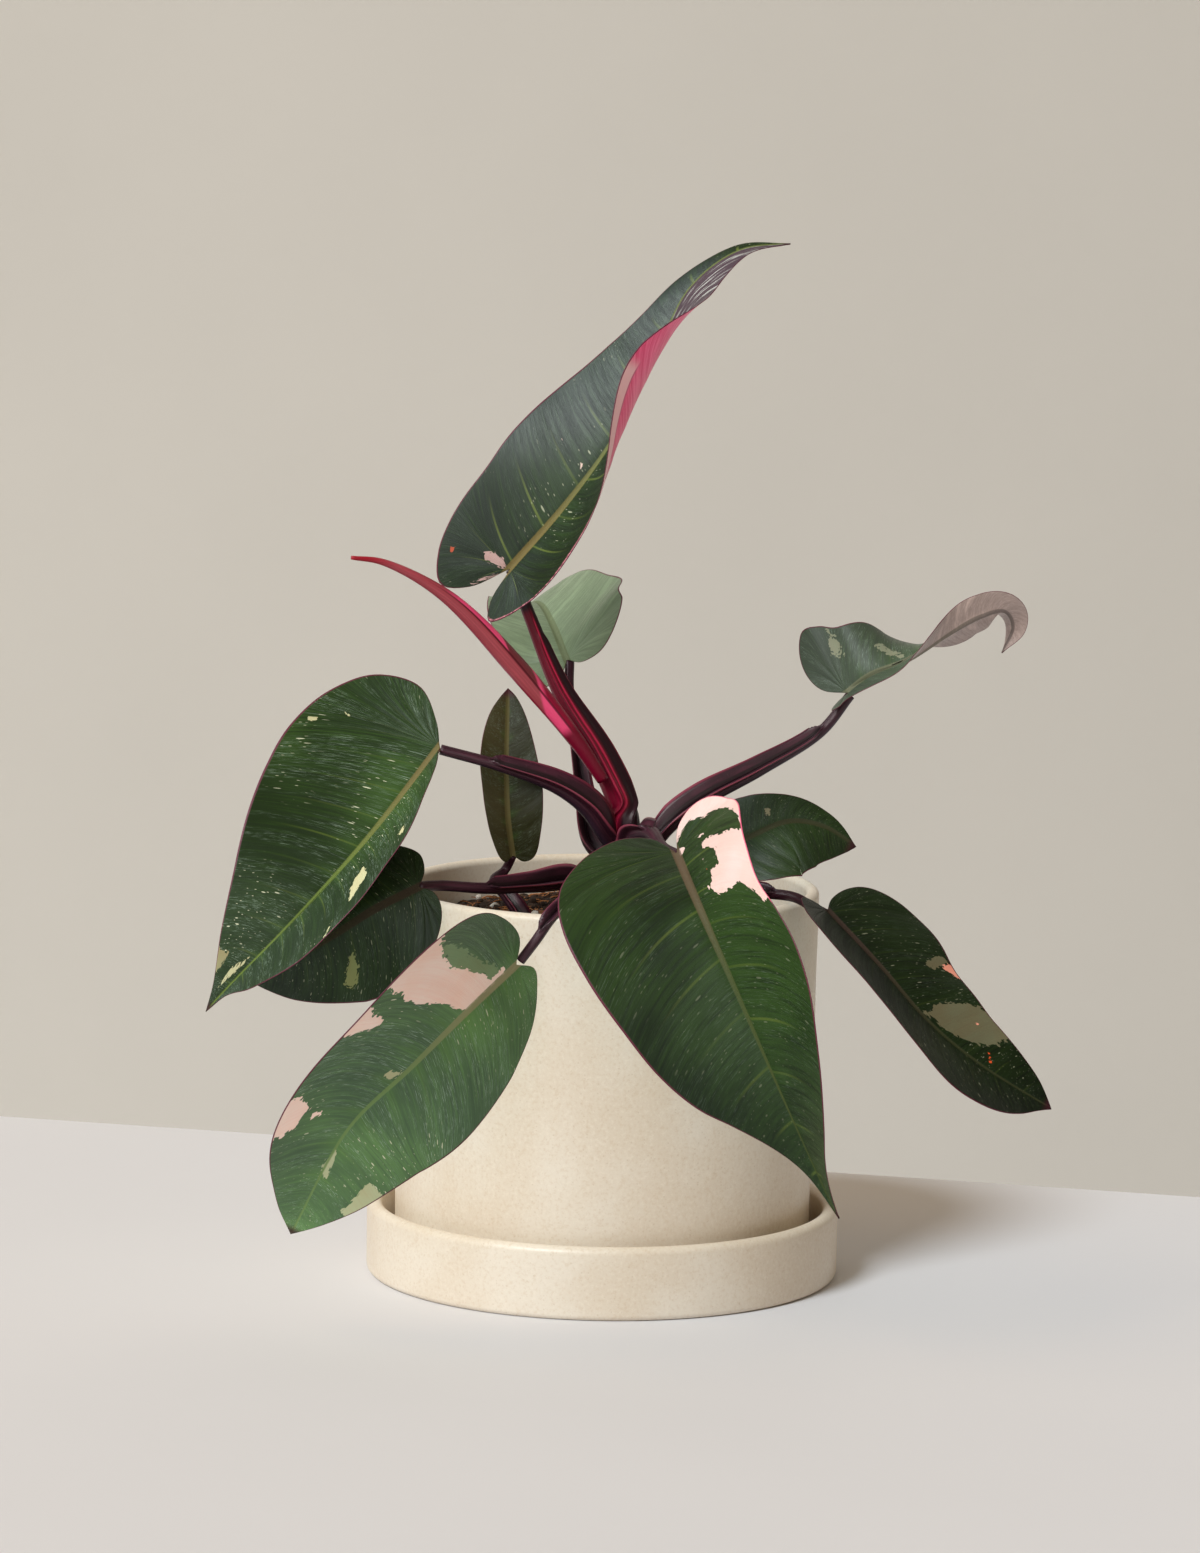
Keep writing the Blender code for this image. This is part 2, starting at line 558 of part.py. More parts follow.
def main():
    clear_scene()
    plant = new_collection("pink_princess_philodendron")
    cutters = new_collection("cutters")
    build_saucer(plant)
    build_pot(plant)
    build_soil(plant, cutters)
    build_plant(plant, cutters)


if __name__ == "__main__":
    main()
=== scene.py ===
import math
import random

import bmesh
import bpy
import numpy as np
from bpy.props import FloatProperty, FloatVectorProperty, IntProperty, PointerProperty
from mathutils import Matrix, Vector, noise


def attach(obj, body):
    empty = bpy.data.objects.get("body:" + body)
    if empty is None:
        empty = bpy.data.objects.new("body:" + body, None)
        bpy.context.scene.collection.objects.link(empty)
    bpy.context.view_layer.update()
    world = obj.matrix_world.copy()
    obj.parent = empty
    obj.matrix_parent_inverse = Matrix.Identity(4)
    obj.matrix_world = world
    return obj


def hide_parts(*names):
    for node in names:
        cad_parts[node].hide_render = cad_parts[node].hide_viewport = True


bl_info = {
    "name": "Pink princess philodendron",
    "version": (1, 0, 0),
    "blender": (4, 5, 0),
    "location": "3D View > Sidebar > Plant",
    "description": "Builds the finished philodendron, its pot and saucer, and the studio round it",
    "category": "Object",
}

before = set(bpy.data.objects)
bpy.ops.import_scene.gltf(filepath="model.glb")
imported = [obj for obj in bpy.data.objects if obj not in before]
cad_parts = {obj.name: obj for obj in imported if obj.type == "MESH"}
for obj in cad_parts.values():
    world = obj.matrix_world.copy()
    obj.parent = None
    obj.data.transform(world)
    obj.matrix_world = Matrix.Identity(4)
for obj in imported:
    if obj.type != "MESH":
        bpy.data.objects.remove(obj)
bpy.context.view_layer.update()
BODY = "root"
MM = 0.001
MM_PER_METRE = 1000.0
GAP = 0.3

# How finely lines, edges and blades are cut.
LINE_SAMPLES, MIDRIB_SAMPLES, EDGE_STEPS, BEND_SAMPLES = 1200, 240, 400, 8
BLADE_ROWS = 112
BLADE_STEPS = np.concatenate([np.linspace(0, 0.06, 3)[:-1], np.linspace(0.06, 0.9, 19)[:-1],
                              np.linspace(0.9, 1, 5)])

# The reach in mm at which a half has its whole curl, the forward lean of the side veins, the height
# of the ripples, the channel above a midrib and the rib below it, in mm, and what counts as far from
# a patch or as nothing.
CURL_REACH, VEIN_LEAN, RIPPLE = 40.0, 0.55, 1.2
CHANNEL_DEPTH, CHANNEL_WIDTH, RIB_DEPTH, RIB_WIDTH = 0.55, 1.5, 0.9, 1.25
FAR_OFF, TINY = 60.0, 1e-9

STEM_AXIS = [(2, 4, 114), (2, 4, 138), (5, 2.5, 148), (8.4, 1, 157), (9, 0.2, 162), (8.2, 0.1, 165.5)]

# Each leaf: its midrib from the joint to the tip, the directions its upper face looks in, the fold
# of each half out of that face and its further curl, and the edge of each half, in mm and degrees.
LEAVES = {
    "tall": {
        "midrib": [(-39, -3, 269), (-18, -6, 294), (-1, -5, 318), (14, -1, 348), (27, 7, 375),
                   (45, 13, 389), (65, 19, 392)],
        "face": [(-0.4, -0.8, 0.4), (-0.45, -0.7, 0.5), (-0.5, -0.5, 0.65), (-0.3, -0.5, 0.8),
                 (0, -0.5, 0.85)],
        "fold": ([25, 25, 20, 10, 10], [12, 18, 30, 28, 5, 5]),
        "curl": ([-10, -10, -5, 0, 0], [10, 30, 40, 45, 10, 0]),
        "edge": (
            [(-0.09, 7), (-0.13, 16), (-0.08, 25), (0.02, 31), (0.12, 33), (0.25, 35), (0.42, 31),
             (0.56, 21), (0.68, 11), (0.8, 5), (0.92, 2.5)],
            [(-0.08, 4), (-0.11, 10), (-0.07, 16), (0.03, 22), (0.15, 28), (0.28, 35), (0.42, 38),
             (0.58, 34), (0.7, 24), (0.8, 12), (0.91, 3.5)]),
    },
    "left": {
        "midrib": [(-64, -18, 203), (-89, -42, 172), (-114, -59, 145), (-139, -64, 119), (-148, -65, 109)],
        "face": [(-0.15, -0.72, 0.68), (-0.05, -0.85, 0.55), (-0.07, -0.95, 0.25)],
        "fold": ([45, 40], [12]),
        "curl": ([0], [8]),
        "edge": (
            [(0.02, 2), (0.05, 6), (0.1, 11), (0.18, 17), (0.3, 23), (0.48, 26), (0.64, 25),
             (0.77, 19), (0.87, 10), (0.93, 2.5)],
            [(-0.06, 7), (-0.125, 21), (-0.08, 37), (0.04, 47), (0.2, 50), (0.36, 47), (0.52, 40),
             (0.67, 29), (0.81, 17), (0.93, 5)]),
    },
    "low_left": {
        "midrib": [(-70, -51, 155), (-86, -55, 147), (-104, -54, 135), (-121, -49, 125), (-138, -42, 119)],
        "face": [(0.6, -0.5, 0.4), (0.3, -0.9, 0.0), (-0.2, -0.9, -0.3)],
        "fold": ([8], [-30]),
        "curl": ([0], [-12]),
        "edge": (
            [(-0.05, 5), (-0.04, 12), (0.06, 22), (0.2, 28), (0.38, 30), (0.56, 26), (0.74, 17), (0.88, 8)],
            [(-0.06, 5), (-0.08, 13), (0.0, 22), (0.16, 28), (0.36, 29), (0.56, 24), (0.75, 15), (0.9, 6)]),
    },
    "front_left": {
        "midrib": [(-33, -85, 132), (-50, -103, 118), (-71, -115, 98), (-92, -117, 77), (-114, -99, 33)],
        "face": [(0.75, -0.6, 0.2), (0.4, -0.9, -0.1), (-0.2, -0.9, -0.4)],
        "fold": ([8], [8]),
        "curl": ([-10], [25]),
        "edge": (
            [(-0.04, 6), (-0.01, 13), (0.06, 23), (0.17, 30), (0.32, 35), (0.52, 35), (0.68, 31),
             (0.82, 21), (0.92, 10)],
            [(-0.04, 8), (-0.01, 20), (0.09, 33), (0.19, 39), (0.3, 41), (0.42, 38), (0.55, 34),
             (0.66, 29), (0.76, 23), (0.86, 15), (0.94, 8)]),
    },
    "front": {
        "midrib": [(25, -61, 171), (33, -91, 156.5), (46, -108, 130), (66, -116, 87), (86, -108, 44)],
        "face": [(-0.5, -0.45, 0.7), (-0.5, -0.85, 0.1), (-0.7, -0.6, -0.4)],
        "fold": ([22, 14, 14], [34, 26, 16]),
        "curl": ([-15, 10, 20, 20], [0, 10, 15]),
        "edge": (
            [(-0.06, 5), (-0.075, 13), (-0.055, 22), (0.01, 29.5), (0.09, 33), (0.19, 30.5), (0.27, 30),
             (0.34, 34), (0.42, 37.5), (0.51, 37), (0.62, 31), (0.76, 18), (0.88, 6)],
            [(-0.06, 7), (-0.07, 17), (-0.03, 30), (0.04, 41), (0.11, 48), (0.2, 51), (0.3, 49),
             (0.42, 44), (0.54, 38), (0.64, 30), (0.71, 21), (0.79, 12), (0.88, 4.5)]),
    },
    "right": {
        "midrib": [(82, -42, 147), (101, -57, 129), (120, -66, 109), (139, -67, 94), (166, -62, 77)],
        "face": [(0.25, -0.45, 0.85), (0.45, -0.6, 0.65), (0.4, -0.85, 0.35)],
        "fold": ([12], [25]),
        "curl": ([-15], [5]),
        "edge": (
            [(-0.03, 5), (-0.04, 14), (-0.01, 22), (0.1, 29), (0.24, 31), (0.4, 28), (0.55, 24),
             (0.68, 19), (0.8, 14), (0.91, 8)],
            [(-0.04, 5), (-0.05, 13), (0.02, 21), (0.14, 26), (0.32, 28), (0.5, 30), (0.64, 31),
             (0.76, 25), (0.88, 13), (0.95, 5)]),
    },
    "back_right": {
        "midrib": [(46, 15, 161), (56, 14, 167), (69, 16, 172), (82, 18, 170), (95, 20, 162)],
        "face": [(-0.4, -0.8, 0.5), (0.1, -0.85, 0.5), (0.4, -0.75, 0.5)],
        "fold": ([12], [12]),
        "curl": ([0], [0]),
        "edge": (
            [(-0.08, 5), (-0.08, 11), (0.05, 16), (0.28, 15), (0.5, 10), (0.72, 6), (0.88, 3)],
            [(-0.08, 5), (-0.08, 12), (0.06, 19), (0.26, 24), (0.48, 25), (0.68, 21), (0.84, 14), (0.94, 6)]),
    },
    "high_right": {
        "midrib": [(90, 14, 222), (98, 10, 229), (112, 12, 235), (127, 18, 244), (140, 23, 251),
                   (150, 28, 253), (154, 34, 246), (150, 34, 236)],
        "face": [(-0.3, -0.6, 0.7), (-0.15, -0.5, 0.85), (0.0, 0.3, 1.0), (0.0, 0.8, 0.6),
                 (0.4, 0.8, 0.4), (0.9, 0.4, -0.2)],
        "fold": ([30, 15, 10], [30, 20, 10]),
        "curl": ([0], [0]),
        "edge": (
            [(-0.09, 7), (-0.12, 16), (-0.1, 25), (-0.04, 31), (0.03, 29), (0.1, 24), (0.2, 22),
             (0.34, 19), (0.5, 14), (0.66, 10), (0.82, 7), (0.94, 3)],
            [(-0.06, 4), (-0.06, 9), (0.02, 13), (0.16, 14), (0.34, 12), (0.5, 9), (0.66, 9),
             (0.82, 7), (0.94, 3)]),
    },
    "back": {
        "midrib": [(-17, 40, 230), (-22, 54, 240), (-28, 78, 247), (-34, 104, 243), (-39, 126, 229)],
        "face": [(-0.45, 0.6, 0.7), (-0.45, 0.35, 0.85), (-0.4, 0, 0.95), (-0.3, -0.3, 0.9)],
        "fold": ([30], [12]),
        "curl": ([0], [0]),
        "edge": (
            [(-0.08, 5), (-0.11, 12), (-0.04, 19), (0.1, 23), (0.3, 24), (0.5, 20), (0.7, 13), (0.87, 6)],
            [(-0.08, 6), (-0.12, 16), (-0.09, 27), (0.0, 35), (0.14, 34), (0.3, 28), (0.5, 22),
             (0.7, 15), (0.87, 7)]),
    },
    "small": {
        "midrib": [(-36, -11, 161), (-38, -11, 175), (-39, -7, 194), (-39, -2, 210), (-39, 4, 223)],
        "face": [(0.0, -0.9, 0.2), (0, -0.9, -0.2)],
        "fold": ([12], [12]),
        "curl": ([0], [0]),
        "edge": (
            [(-0.03, 3), (0.0, 5), (0.12, 7), (0.35, 9), (0.62, 10), (0.83, 7), (0.94, 3)],
            [(-0.04, 4), (-0.02, 8), (0.12, 12), (0.34, 14), (0.57, 12), (0.83, 7), (0.95, 3)]),
    },
}

# Each petiole: its height and angle round the stem, its radius from foot to joint and its path.
PETIOLES = {
    "left": {"height": 158, "angle": 211, "radius": (2.4, 3.6, 3.0, 2.2, 2.0),
             "path": [(-2, -9, 171), (-8, -12, 180), (-19, -14, 188), (-41, -17, 196)]},
    "low_left": {"height": 145, "angle": 190, "radius": (2.4, 3.2, 2.6, 2.1, 2.0),
                 "path": [(-12, -6, 150.5), (-29, -26, 152), (-46, -40, 153), (-62, -45, 154.5)]},
    "front_left": {"height": 148, "angle": 247, "radius": (2.4, 3.0, 2.4, 2.0, 1.8), "in_sinus": 2.3,
                   "path": [(-3, -20, 151), (-10, -50, 152), (-15, -73, 152.7), (-20.5, -82.3, 149),
                            (-26, -84.2, 141)]},
    "front": {"height": 154, "angle": 287, "radius": (2.4, 3.2, 3.0, 2.4, 2.0),
              "path": [(10, -17, 170), (16, -35, 174), (20.5, -52.5, 171)]},
    "right": {"height": 146, "angle": 324, "radius": (2.4, 2.8, 2.3, 2.0, 1.8),
              "path": [(35, -20, 152.5), (59, -34, 152), (70, -40, 151.4), (76, -41, 148.4)]},
    "back_right": {"height": 150, "angle": 30, "radius": (2.3, 2.6, 2.1, 1.8),
                   "path": [(27, 14, 157), (38, 17, 157)]},
    "high_right": {"height": 158, "angle": 355, "radius": (2.4, 3.2, 2.8, 2.2, 1.9),
                   "path": [(23, 0, 172), (36, 3, 182), (57, 8, 193), (80, 13, 207)]},
    "back": {"height": 154, "angle": 140, "radius": (2.4, 3.0, 2.4, 2.0, 1.8),
             "path": [(-7, 14, 163), (-10, 19, 179), (-13, 26, 199), (-16, 35, 219)]},
}
TALL_PETIOLE = {"radius": (5.4, 5.3, 4.7, 3.4, 2.5, 2.2),
                "path": [(5, 0.5, 179), (-3, 1, 197), (-19, 1, 223), (-32, 1, 253)]}
SPROUT_PETIOLE = {"radius": (2.2, 2.2, 2.2, 2.0, 1.8, 1.6),
                  "path": [(-32, -27, 122), (-32, -27, 130), (-32.4, -26.8, 139), (-38, -22, 147),
                           (-43, -15, 152), (-39, -8, 155)]}
NEW_LEAF = {"radius": (2.2, 3.2, 3.9, 3.2, 1.8, 0.7),
            "path": [(-2.5, -6.6, 190), (-12.5, -10.5, 205), (-36, -18, 234), (-62, -28, 261),
                     (-85, -36, 274), (-97, -40, 276)]}
SHEATH_TIPS = {"left": 0.78, "low_left": 0.7, "front_left": 0.87, "front": 0.6, "right": 0.76,
               "back_right": 0.4, "high_right": 0.84, "back": 0.87, "tall": 0.77, "small": 0.6}
TALL_FOOT = (7.6, 0.1, 164.5)
STEM_RADIUS, STEM_MIDDLE = 6.0, (5, 2, 0)
STEM_SCARS = (0.42, 0.52, 0.6, 0.68, 0.75, 0.82, 0.88, 0.94)
PETIOLE_SINK, JOINT_CLEARANCE = 1.5, 0.6

SAUCER_RADIUS, SAUCER_HEIGHT, SAUCER_WALL, SAUCER_FLOOR = 90.0, 27.5, 5.8, 6.0
POT_RADIUS_FOOT, POT_RADIUS_RIM, POT_RIM_HEIGHT, POT_WALL, POT_FLOOR = 79.1, 80.2, 149.0, 4.9, 7.0
DRAIN_RADIUS, EDGE_ROUND = 7.0, 2.4
POT_FOOT = SAUCER_FLOOR + GAP
POT_INSIDE = POT_FOOT + POT_FLOOR
PROFILE_STEP, TURNED_SIDES = 6, 168

SOIL_EDGE_HEIGHT, SOIL_CROWN, SOIL_LUMPS, SOIL_GRAIN = 133.0, 6.0, 1.6, 0.9
SOIL_RADIUS = POT_RADIUS_RIM - POT_WALL - 2 * GAP
SOIL_RINGS, SOIL_SIDES = 70, 200
STREWN_REACH, FIBRE_STEP, FIBRE_SIDES = 75, 1.3, 5

# What lies on the soil: its radius from least to most in mm, and how it is squashed along X, Y and Z.
CRUMB_SIZES = (0.7, 2.2), ((0.7, 1.3), (0.6, 1), (0.4, 0.8))
BARK_SIZES = (1.6, 3.6), ((1, 1.6), (0.4, 0.7), (0.2, 0.4))
PERLITE_SIZES = (0.8, 1.9), ((0.8, 1.2), (0.8, 1.2), (0.7, 1))

PHOTO_HEIGHT, SENSOR = 1553, 36.0
CAMERA_PLACE = (-3.6, -2179.645, 488.874)
CAMERA_TILT = math.atan2(0.13571557, 0.99074784)
CAMERA_ROLL = math.radians(0.95)
CAMERA_FOCUS_PX = 5804.7
CAMERA_SIGHT = 50

# The room, in mm: half widths, distances in front of and behind the plant, and heights.
TABLE_EDGE, TABLE_FRONT, TABLE_BACK, TABLE_SLANT = 3000, -3500, 213, 0.2535
ROOM_EDGE, BOARDS_HEIGHT, WALL_BACK, WALL_HEIGHT = 9000, -760, 3500, 8000
# How much painted shade darkens the wall: for each mm to the right, for each mm downwards, and where the
# plant stands.
WALL_PAINTED_SHADE = (0.000112, 0.0000439, 0.063)

# Each lamp, in metres: its kind, its place, the setting that drives it and its share of that, its tint
# and its size.
LAMP_AIM, ABOVE = (0, 0, 0.15), (-1.5, -0.2, 1.9)
LAMPS = {
    "key": ("SUN", (-1.3, -1.1, 1.65), "key_strength", 1, (1, 0.975, 0.94), {"angle": 0.6}),
    "pot_key": ("SUN", (-0.95, -1.33, 1.65), "key_strength", 0.93, (0.91, 0.97, 1), {"angle": 0.32}),
    "front": ("SUN", (-0.5, -2, 0.75), "front_strength", 1, (1, 0.98, 0.95), {"angle": 0.8}),
    "sky": ("AREA", ABOVE, "sky_power", 1, (0.8, 0.91, 1), {"shape": "DISK", "size": 1.7}),
    "glow": ("AREA", ABOVE, "sky_power", 0.62, (1, 0.7, 0.36), {"shape": "DISK", "size": 1.7}),
    "backdrop": ("SUN", (-0.6, -2, 1.2), "backdrop_strength", 1, (1, 1, 1),
                 {"angle": 1.0, "use_shadow": False}),
}

# Which pieces each lamp lights alone or leaves out, and which alone cast its shadow.
CERAMICS = ("pot_turned", "saucer_turned")
LAMP_LINKS = [
    ("key", "receiver", "EXCLUDE", ("wall", "floor", *CERAMICS)),
    ("front", "receiver", "EXCLUDE", ("wall", "floor", *CERAMICS)),
    ("sky", "receiver", "EXCLUDE", ("floor", *CERAMICS)),
    ("glow", "receiver", "INCLUDE", ("floor", *CERAMICS)),
    ("pot_key", "receiver", "INCLUDE", ("floor", *CERAMICS)),
    ("pot_key", "blocker", "INCLUDE", CERAMICS),
    ("backdrop", "receiver", "INCLUDE", ("wall",)),
]


def srgb(red, green, blue):
    """A colour given in screen values from 0 to 255, as the linear values that materials use."""
    return tuple((c / 12.92 if c <= 0.04045 else ((c + 0.055) / 1.055) ** 2.4)
                 for c in (red / 255, green / 255, blue / 255))


def shade(colour, factor, lift=0.0):
    """A colour made darker or lighter, its parts no more than full."""
    return tuple(min(1, factor * c + lift) for c in colour)


def tinted(colour, *factors):
    """A colour with each of its parts made weaker by its own factor."""
    return tuple(c * factor for c, factor in zip(colour, factors))


DEEP_GREEN = srgb(36, 56, 24)
FRESH_GREEN = srgb(56, 84, 36)
LIME_VEIN = srgb(120, 136, 56)
HOT_PINK = srgb(214, 96, 128)
SAGE = srgb(150, 164, 134)
SHEEN = srgb(118, 148, 130)
# Painted sheen: the pale bluish colour of streaks that stand in for light glancing off the glossy leaves.
PAINTED_SHEEN = srgb(160, 184, 166)
FLECK = srgb(204, 208, 180)
LEAF_TIP = srgb(58, 20, 30)


class Finish:
    """A node material round one Principled shader, with short ways to add its nodes."""

    def __init__(self, name, roughness=0.5):
        self.material = bpy.data.materials.new(name)
        self.material.use_nodes = True
        self.tree = self.material.node_tree
        self.shader = self.tree.nodes["Principled BSDF"]
        self.shader.inputs["Roughness"].default_value = roughness

    def node(self, kind, inputs=(), **settings):
        made = self.tree.nodes.new(kind)
        for key, value in settings.items():
            setattr(made, key, value)
        for socket, value in dict(inputs).items():
            self.feed(made.inputs[socket], value)
        return made

    def feed(self, socket, value):
        if isinstance(value, bpy.types.NodeSocket):
            self.tree.links.new(value, socket)
        elif socket.type == "RGBA" and len(value) == 3:
            socket.default_value = (*value, 1)
        else:
            socket.default_value = value

    def math(self, operation, first, second=0.5, clamp=False):
        made = self.node("ShaderNodeMath", {0: first, 1: second}, operation=operation, use_clamp=clamp)
        return made.outputs[0]

    def times(self, first, *others):
        for other in others:
            first = self.math("MULTIPLY", first, other)
        return first

    def plus(self, first, second, clamp=False):
        return self.math("ADD", first, second, clamp)

    def minus(self, first, second):
        return self.math("SUBTRACT", first, second)

    def size(self, value):
        """A value without its sign."""
        return self.math("ABSOLUTE", value)

    def ramp(self, value, low, high, start=0.0, end=1.0):
        """Smooth step from start at low to end at high."""
        made = self.node("ShaderNodeMapRange", {"Value": value, "From Min": low, "From Max": high,
                                                "To Min": start, "To Max": end},
                         interpolation_type="SMOOTHSTEP")
        return made.outputs["Result"]

    def mix(self, amount, first, second):
        made = self.node("ShaderNodeMix", data_type="RGBA")
        for socket, value in (("Factor", amount), ("A", first), ("B", second)):
            self.feed(made.inputs[socket], value)
        return made.outputs["Result"]

    def wash(self, base, colour, value, low, high, amount=1.0):
        """Lays an amount of a colour over the base as the value goes from low to high."""
        return self.mix(self.ramp(value, low, high, 0, amount), base, colour)

    def join(self, x, y=0.0, z=0.0):
        return self.node("ShaderNodeCombineXYZ", {"X": x, "Y": y, "Z": z}).outputs[0]

    def split(self, vector):
        return self.node("ShaderNodeSeparateXYZ", {0: vector}).outputs

    def stored(self, name):
        return self.node("ShaderNodeAttribute", attribute_name=name).outputs["Vector"]

    def place(self):
        """Object coordinates in millimetres."""
        where = self.node("ShaderNodeTexCoord").outputs["Object"]
        scaled = self.node("ShaderNodeVectorMath", {0: where, "Scale": MM_PER_METRE}, operation="SCALE")
        return scaled.outputs[0]

    def noise(self, vector, scale, detail=2.0, roughness=0.5):
        made = self.node("ShaderNodeTexNoise", {"Vector": vector, "Scale": scale, "Detail": detail,
                                                "Roughness": roughness})
        return made.outputs["Fac"]

    def cells(self, vector, scale):
        """A jittered grid: a random value for each cell, and the distance from its centre."""
        made = self.node("ShaderNodeTexVoronoi", {"Vector": vector, "Scale": scale})
        return self.split(made.outputs["Color"])[0], made.outputs["Distance"]

    def dots(self, vector, scale, size, share):
        """Round spots on a share of the cells of a jittered grid."""
        chance, distance = self.cells(vector, scale)
        return self.times(self.math("LESS_THAN", chance, share), self.ramp(distance, size, size * 0.6))

    def bump(self, height, strength, distance):
        made = self.node("ShaderNodeBump", {"Height": height, "Strength": strength, "Distance": distance})
        self.feed(self.shader.inputs["Normal"], made.outputs["Normal"])

    def look(self, **sockets):
        for name, value in sockets.items():
            self.feed(self.shader.inputs[name.replace("_", " ")], value)
        return self.material


def through_knots(knots, values, at):
    """Smooth values at the given places, through values known at increasing knots."""
    values = np.asarray(values, float)
    slopes = np.gradient(values, knots, axis=0)
    span = np.clip(np.searchsorted(knots, at, side="right") - 1, 0, len(knots) - 2)
    width = (knots[span + 1] - knots[span])[:, None]
    f = ((at - knots[span])[:, None]) / width
    return ((2 * f**3 - 3 * f**2 + 1) * values[span] + (f**3 - 2 * f**2 + f) * width * slopes[span]
            + (3 * f**2 - 2 * f**3) * values[span + 1] + (f**3 - f**2) * width * slopes[span + 1])


def smooth_line(points, count):
    """Points evenly spaced along the smooth line through the given points, and its length."""
    points = np.asarray(points, float)
    steps = np.sqrt(np.linalg.norm(np.diff(points, axis=0), axis=1))
    knots = np.concatenate([[0], np.cumsum(steps)])
    dense = through_knots(knots, points, np.linspace(0, knots[-1], LINE_SAMPLES))
    travelled = np.concatenate([[0], np.cumsum(np.linalg.norm(np.diff(dense, axis=0), axis=1))])
    places = np.linspace(0, travelled[-1], count)
    line = np.stack([np.interp(places, travelled, dense[:, k]) for k in range(points.shape[1])], 1)
    return line, travelled[-1]


def along(values, at):
    """Smooth values through the ones known at evenly spaced stations from 0 to 1."""
    values = np.asarray(values, float)
    if values.ndim == 1:
        values = values[:, None]
    if len(values) == 1:
        return np.repeat(values, len(at), 0)
    return through_knots(np.linspace(0, 1, len(values)), values, np.clip(at, 0, 1))


def unit(vectors):
    return vectors / np.linalg.norm(vectors, axis=-1, keepdims=True)


def square_to(wish, forward):
    """The wished directions, turned square to the forward ones."""
    return unit(wish - (wish * forward).sum(1, keepdims=True) * forward)


def leaf_frame(leaf):
    """The midrib's points with its forward, upper-face and right-hand directions."""
    line, length = smooth_line(leaf["midrib"], MIDRIB_SAMPLES)
    forward = unit(np.gradient(line, axis=0))
    face = square_to(along(leaf["face"], np.linspace(0, 1, MIDRIB_SAMPLES)), forward)
    return line, forward, face, np.cross(forward, face), length


def leaf_surface(leaf, x, y):
    """Points of a leaf's middle surface, x along the midrib and y mm to its right."""
    line, forward, face, right, length = leaf_frame(leaf)
    inside = np.clip(x, 0, 1)
    places = np.linspace(0, 1, len(line))

    def pick(rows):
        return np.stack([np.interp(inside, places, rows[:, k]) for k in range(3)], 1)

    def bend(key):
        left, right = (along(half, inside)[:, 0] for half in leaf[key])
        return np.radians(np.where(y > 0, right, left))

    middle = pick(line) + unit(pick(forward)) * ((x - inside) * length)[:, None]
    fold, curl = bend("fold"), bend("curl")
    reach = np.abs(y)
    out, rise = np.zeros_like(reach), np.zeros_like(reach)
    samples, weights = np.polynomial.legendre.leggauss(BEND_SAMPLES)
    for sample, weight in zip((samples + 1) / 2, weights / 2):
        angle = fold + curl * reach * sample / CURL_REACH
        out += weight * np.cos(angle) * reach
        rise += weight * np.sin(angle) * reach
    return middle + unit(pick(right)) * (np.sign(y) * out)[:, None] + unit(pick(face)) * rise[:, None]


def leaf_edge(leaf, side, length):
    """A half's edge, in even steps, and where the side vein to each step leaves the midrib."""
    points = [(0, 0)] + leaf["edge"][side] + [(1, 0)]
    line, _ = smooth_line(np.asarray(points) * [length, 1], EDGE_STEPS)
    x, y = line[:, 0] / length, np.maximum(line[:, 1], 0)
    lead = x - VEIN_LEAN * y / length
    root = np.maximum.accumulate(0.5 * (lead + np.sqrt(lead * lead + 0.0004)))
    root = (root - root[0]) / (root[-1] - root[0])
    return x, y, root


def stored_mesh(name, corners, faces, stored):
    """A mesh of corners given in mm, with vectors stored on them for its finish."""
    mesh = bpy.data.meshes.new(name)
    mesh.from_pydata((np.asarray(corners) * MM).tolist(), [], faces)
    for key, values in stored.items():
        layer = mesh.attributes.new(key, "FLOAT_VECTOR", "POINT")
        layer.data.foreach_set("vector", np.asarray(values, np.float32).ravel())
    return mesh


def closed_mesh(shape, mesh):
    """Writes a closed shape into a mesh, with its faces outwards and shaded smooth."""
    bmesh.ops.recalc_face_normals(shape, faces=shape.faces)
    shape.to_mesh(mesh)
    shape.free()
    mesh.shade_smooth()
    return mesh


def shell(name, upper, lower, stored):
    """A closed sheet between two grids of points whose outer columns and end rows meet in a rim."""
    rows, columns = upper.shape[:2]
    count = rows * columns
    index = np.arange(count).reshape(rows, columns)
    top = np.stack([index[:-1, :-1], index[1:, :-1], index[1:, 1:], index[:-1, 1:]], -1).reshape(-1, 4)
    under = top[:, ::-1] + count
    rims = []
    for line in (index[:, 0][::-1], index[:, -1], index[0, :], index[-1, :][::-1]):
        rims.append(np.stack([line[:-1], line[1:], line[1:] + count, line[:-1] + count], -1))
    faces = np.concatenate([top[:, ::-1], under[:, ::-1], *(rim[:, ::-1] for rim in rims)])
    corners = np.concatenate([upper.reshape(-1, 3), lower.reshape(-1, 3)])
    mesh = stored_mesh(name, corners, faces.tolist(), stored)
    shape = bmesh.new()
    shape.from_mesh(mesh)
    bmesh.ops.remove_doubles(shape, verts=shape.verts, dist=0.01 * MM)
    bmesh.ops.dissolve_degenerate(shape, edges=shape.edges, dist=0.005 * MM)
    return closed_mesh(shape, mesh)


def add(name, mesh, material, slot, *nodes):
    """Puts a finished piece in the scene, on the plant's body, in place of its CAD nodes."""
    piece = bpy.data.objects.new(name, mesh)
    bpy.context.scene.collection.objects.link(piece)
    mesh.materials.clear()
    mesh.materials.append(material)
    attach(piece, BODY)
    if nodes:
        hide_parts(*nodes)
    return piece


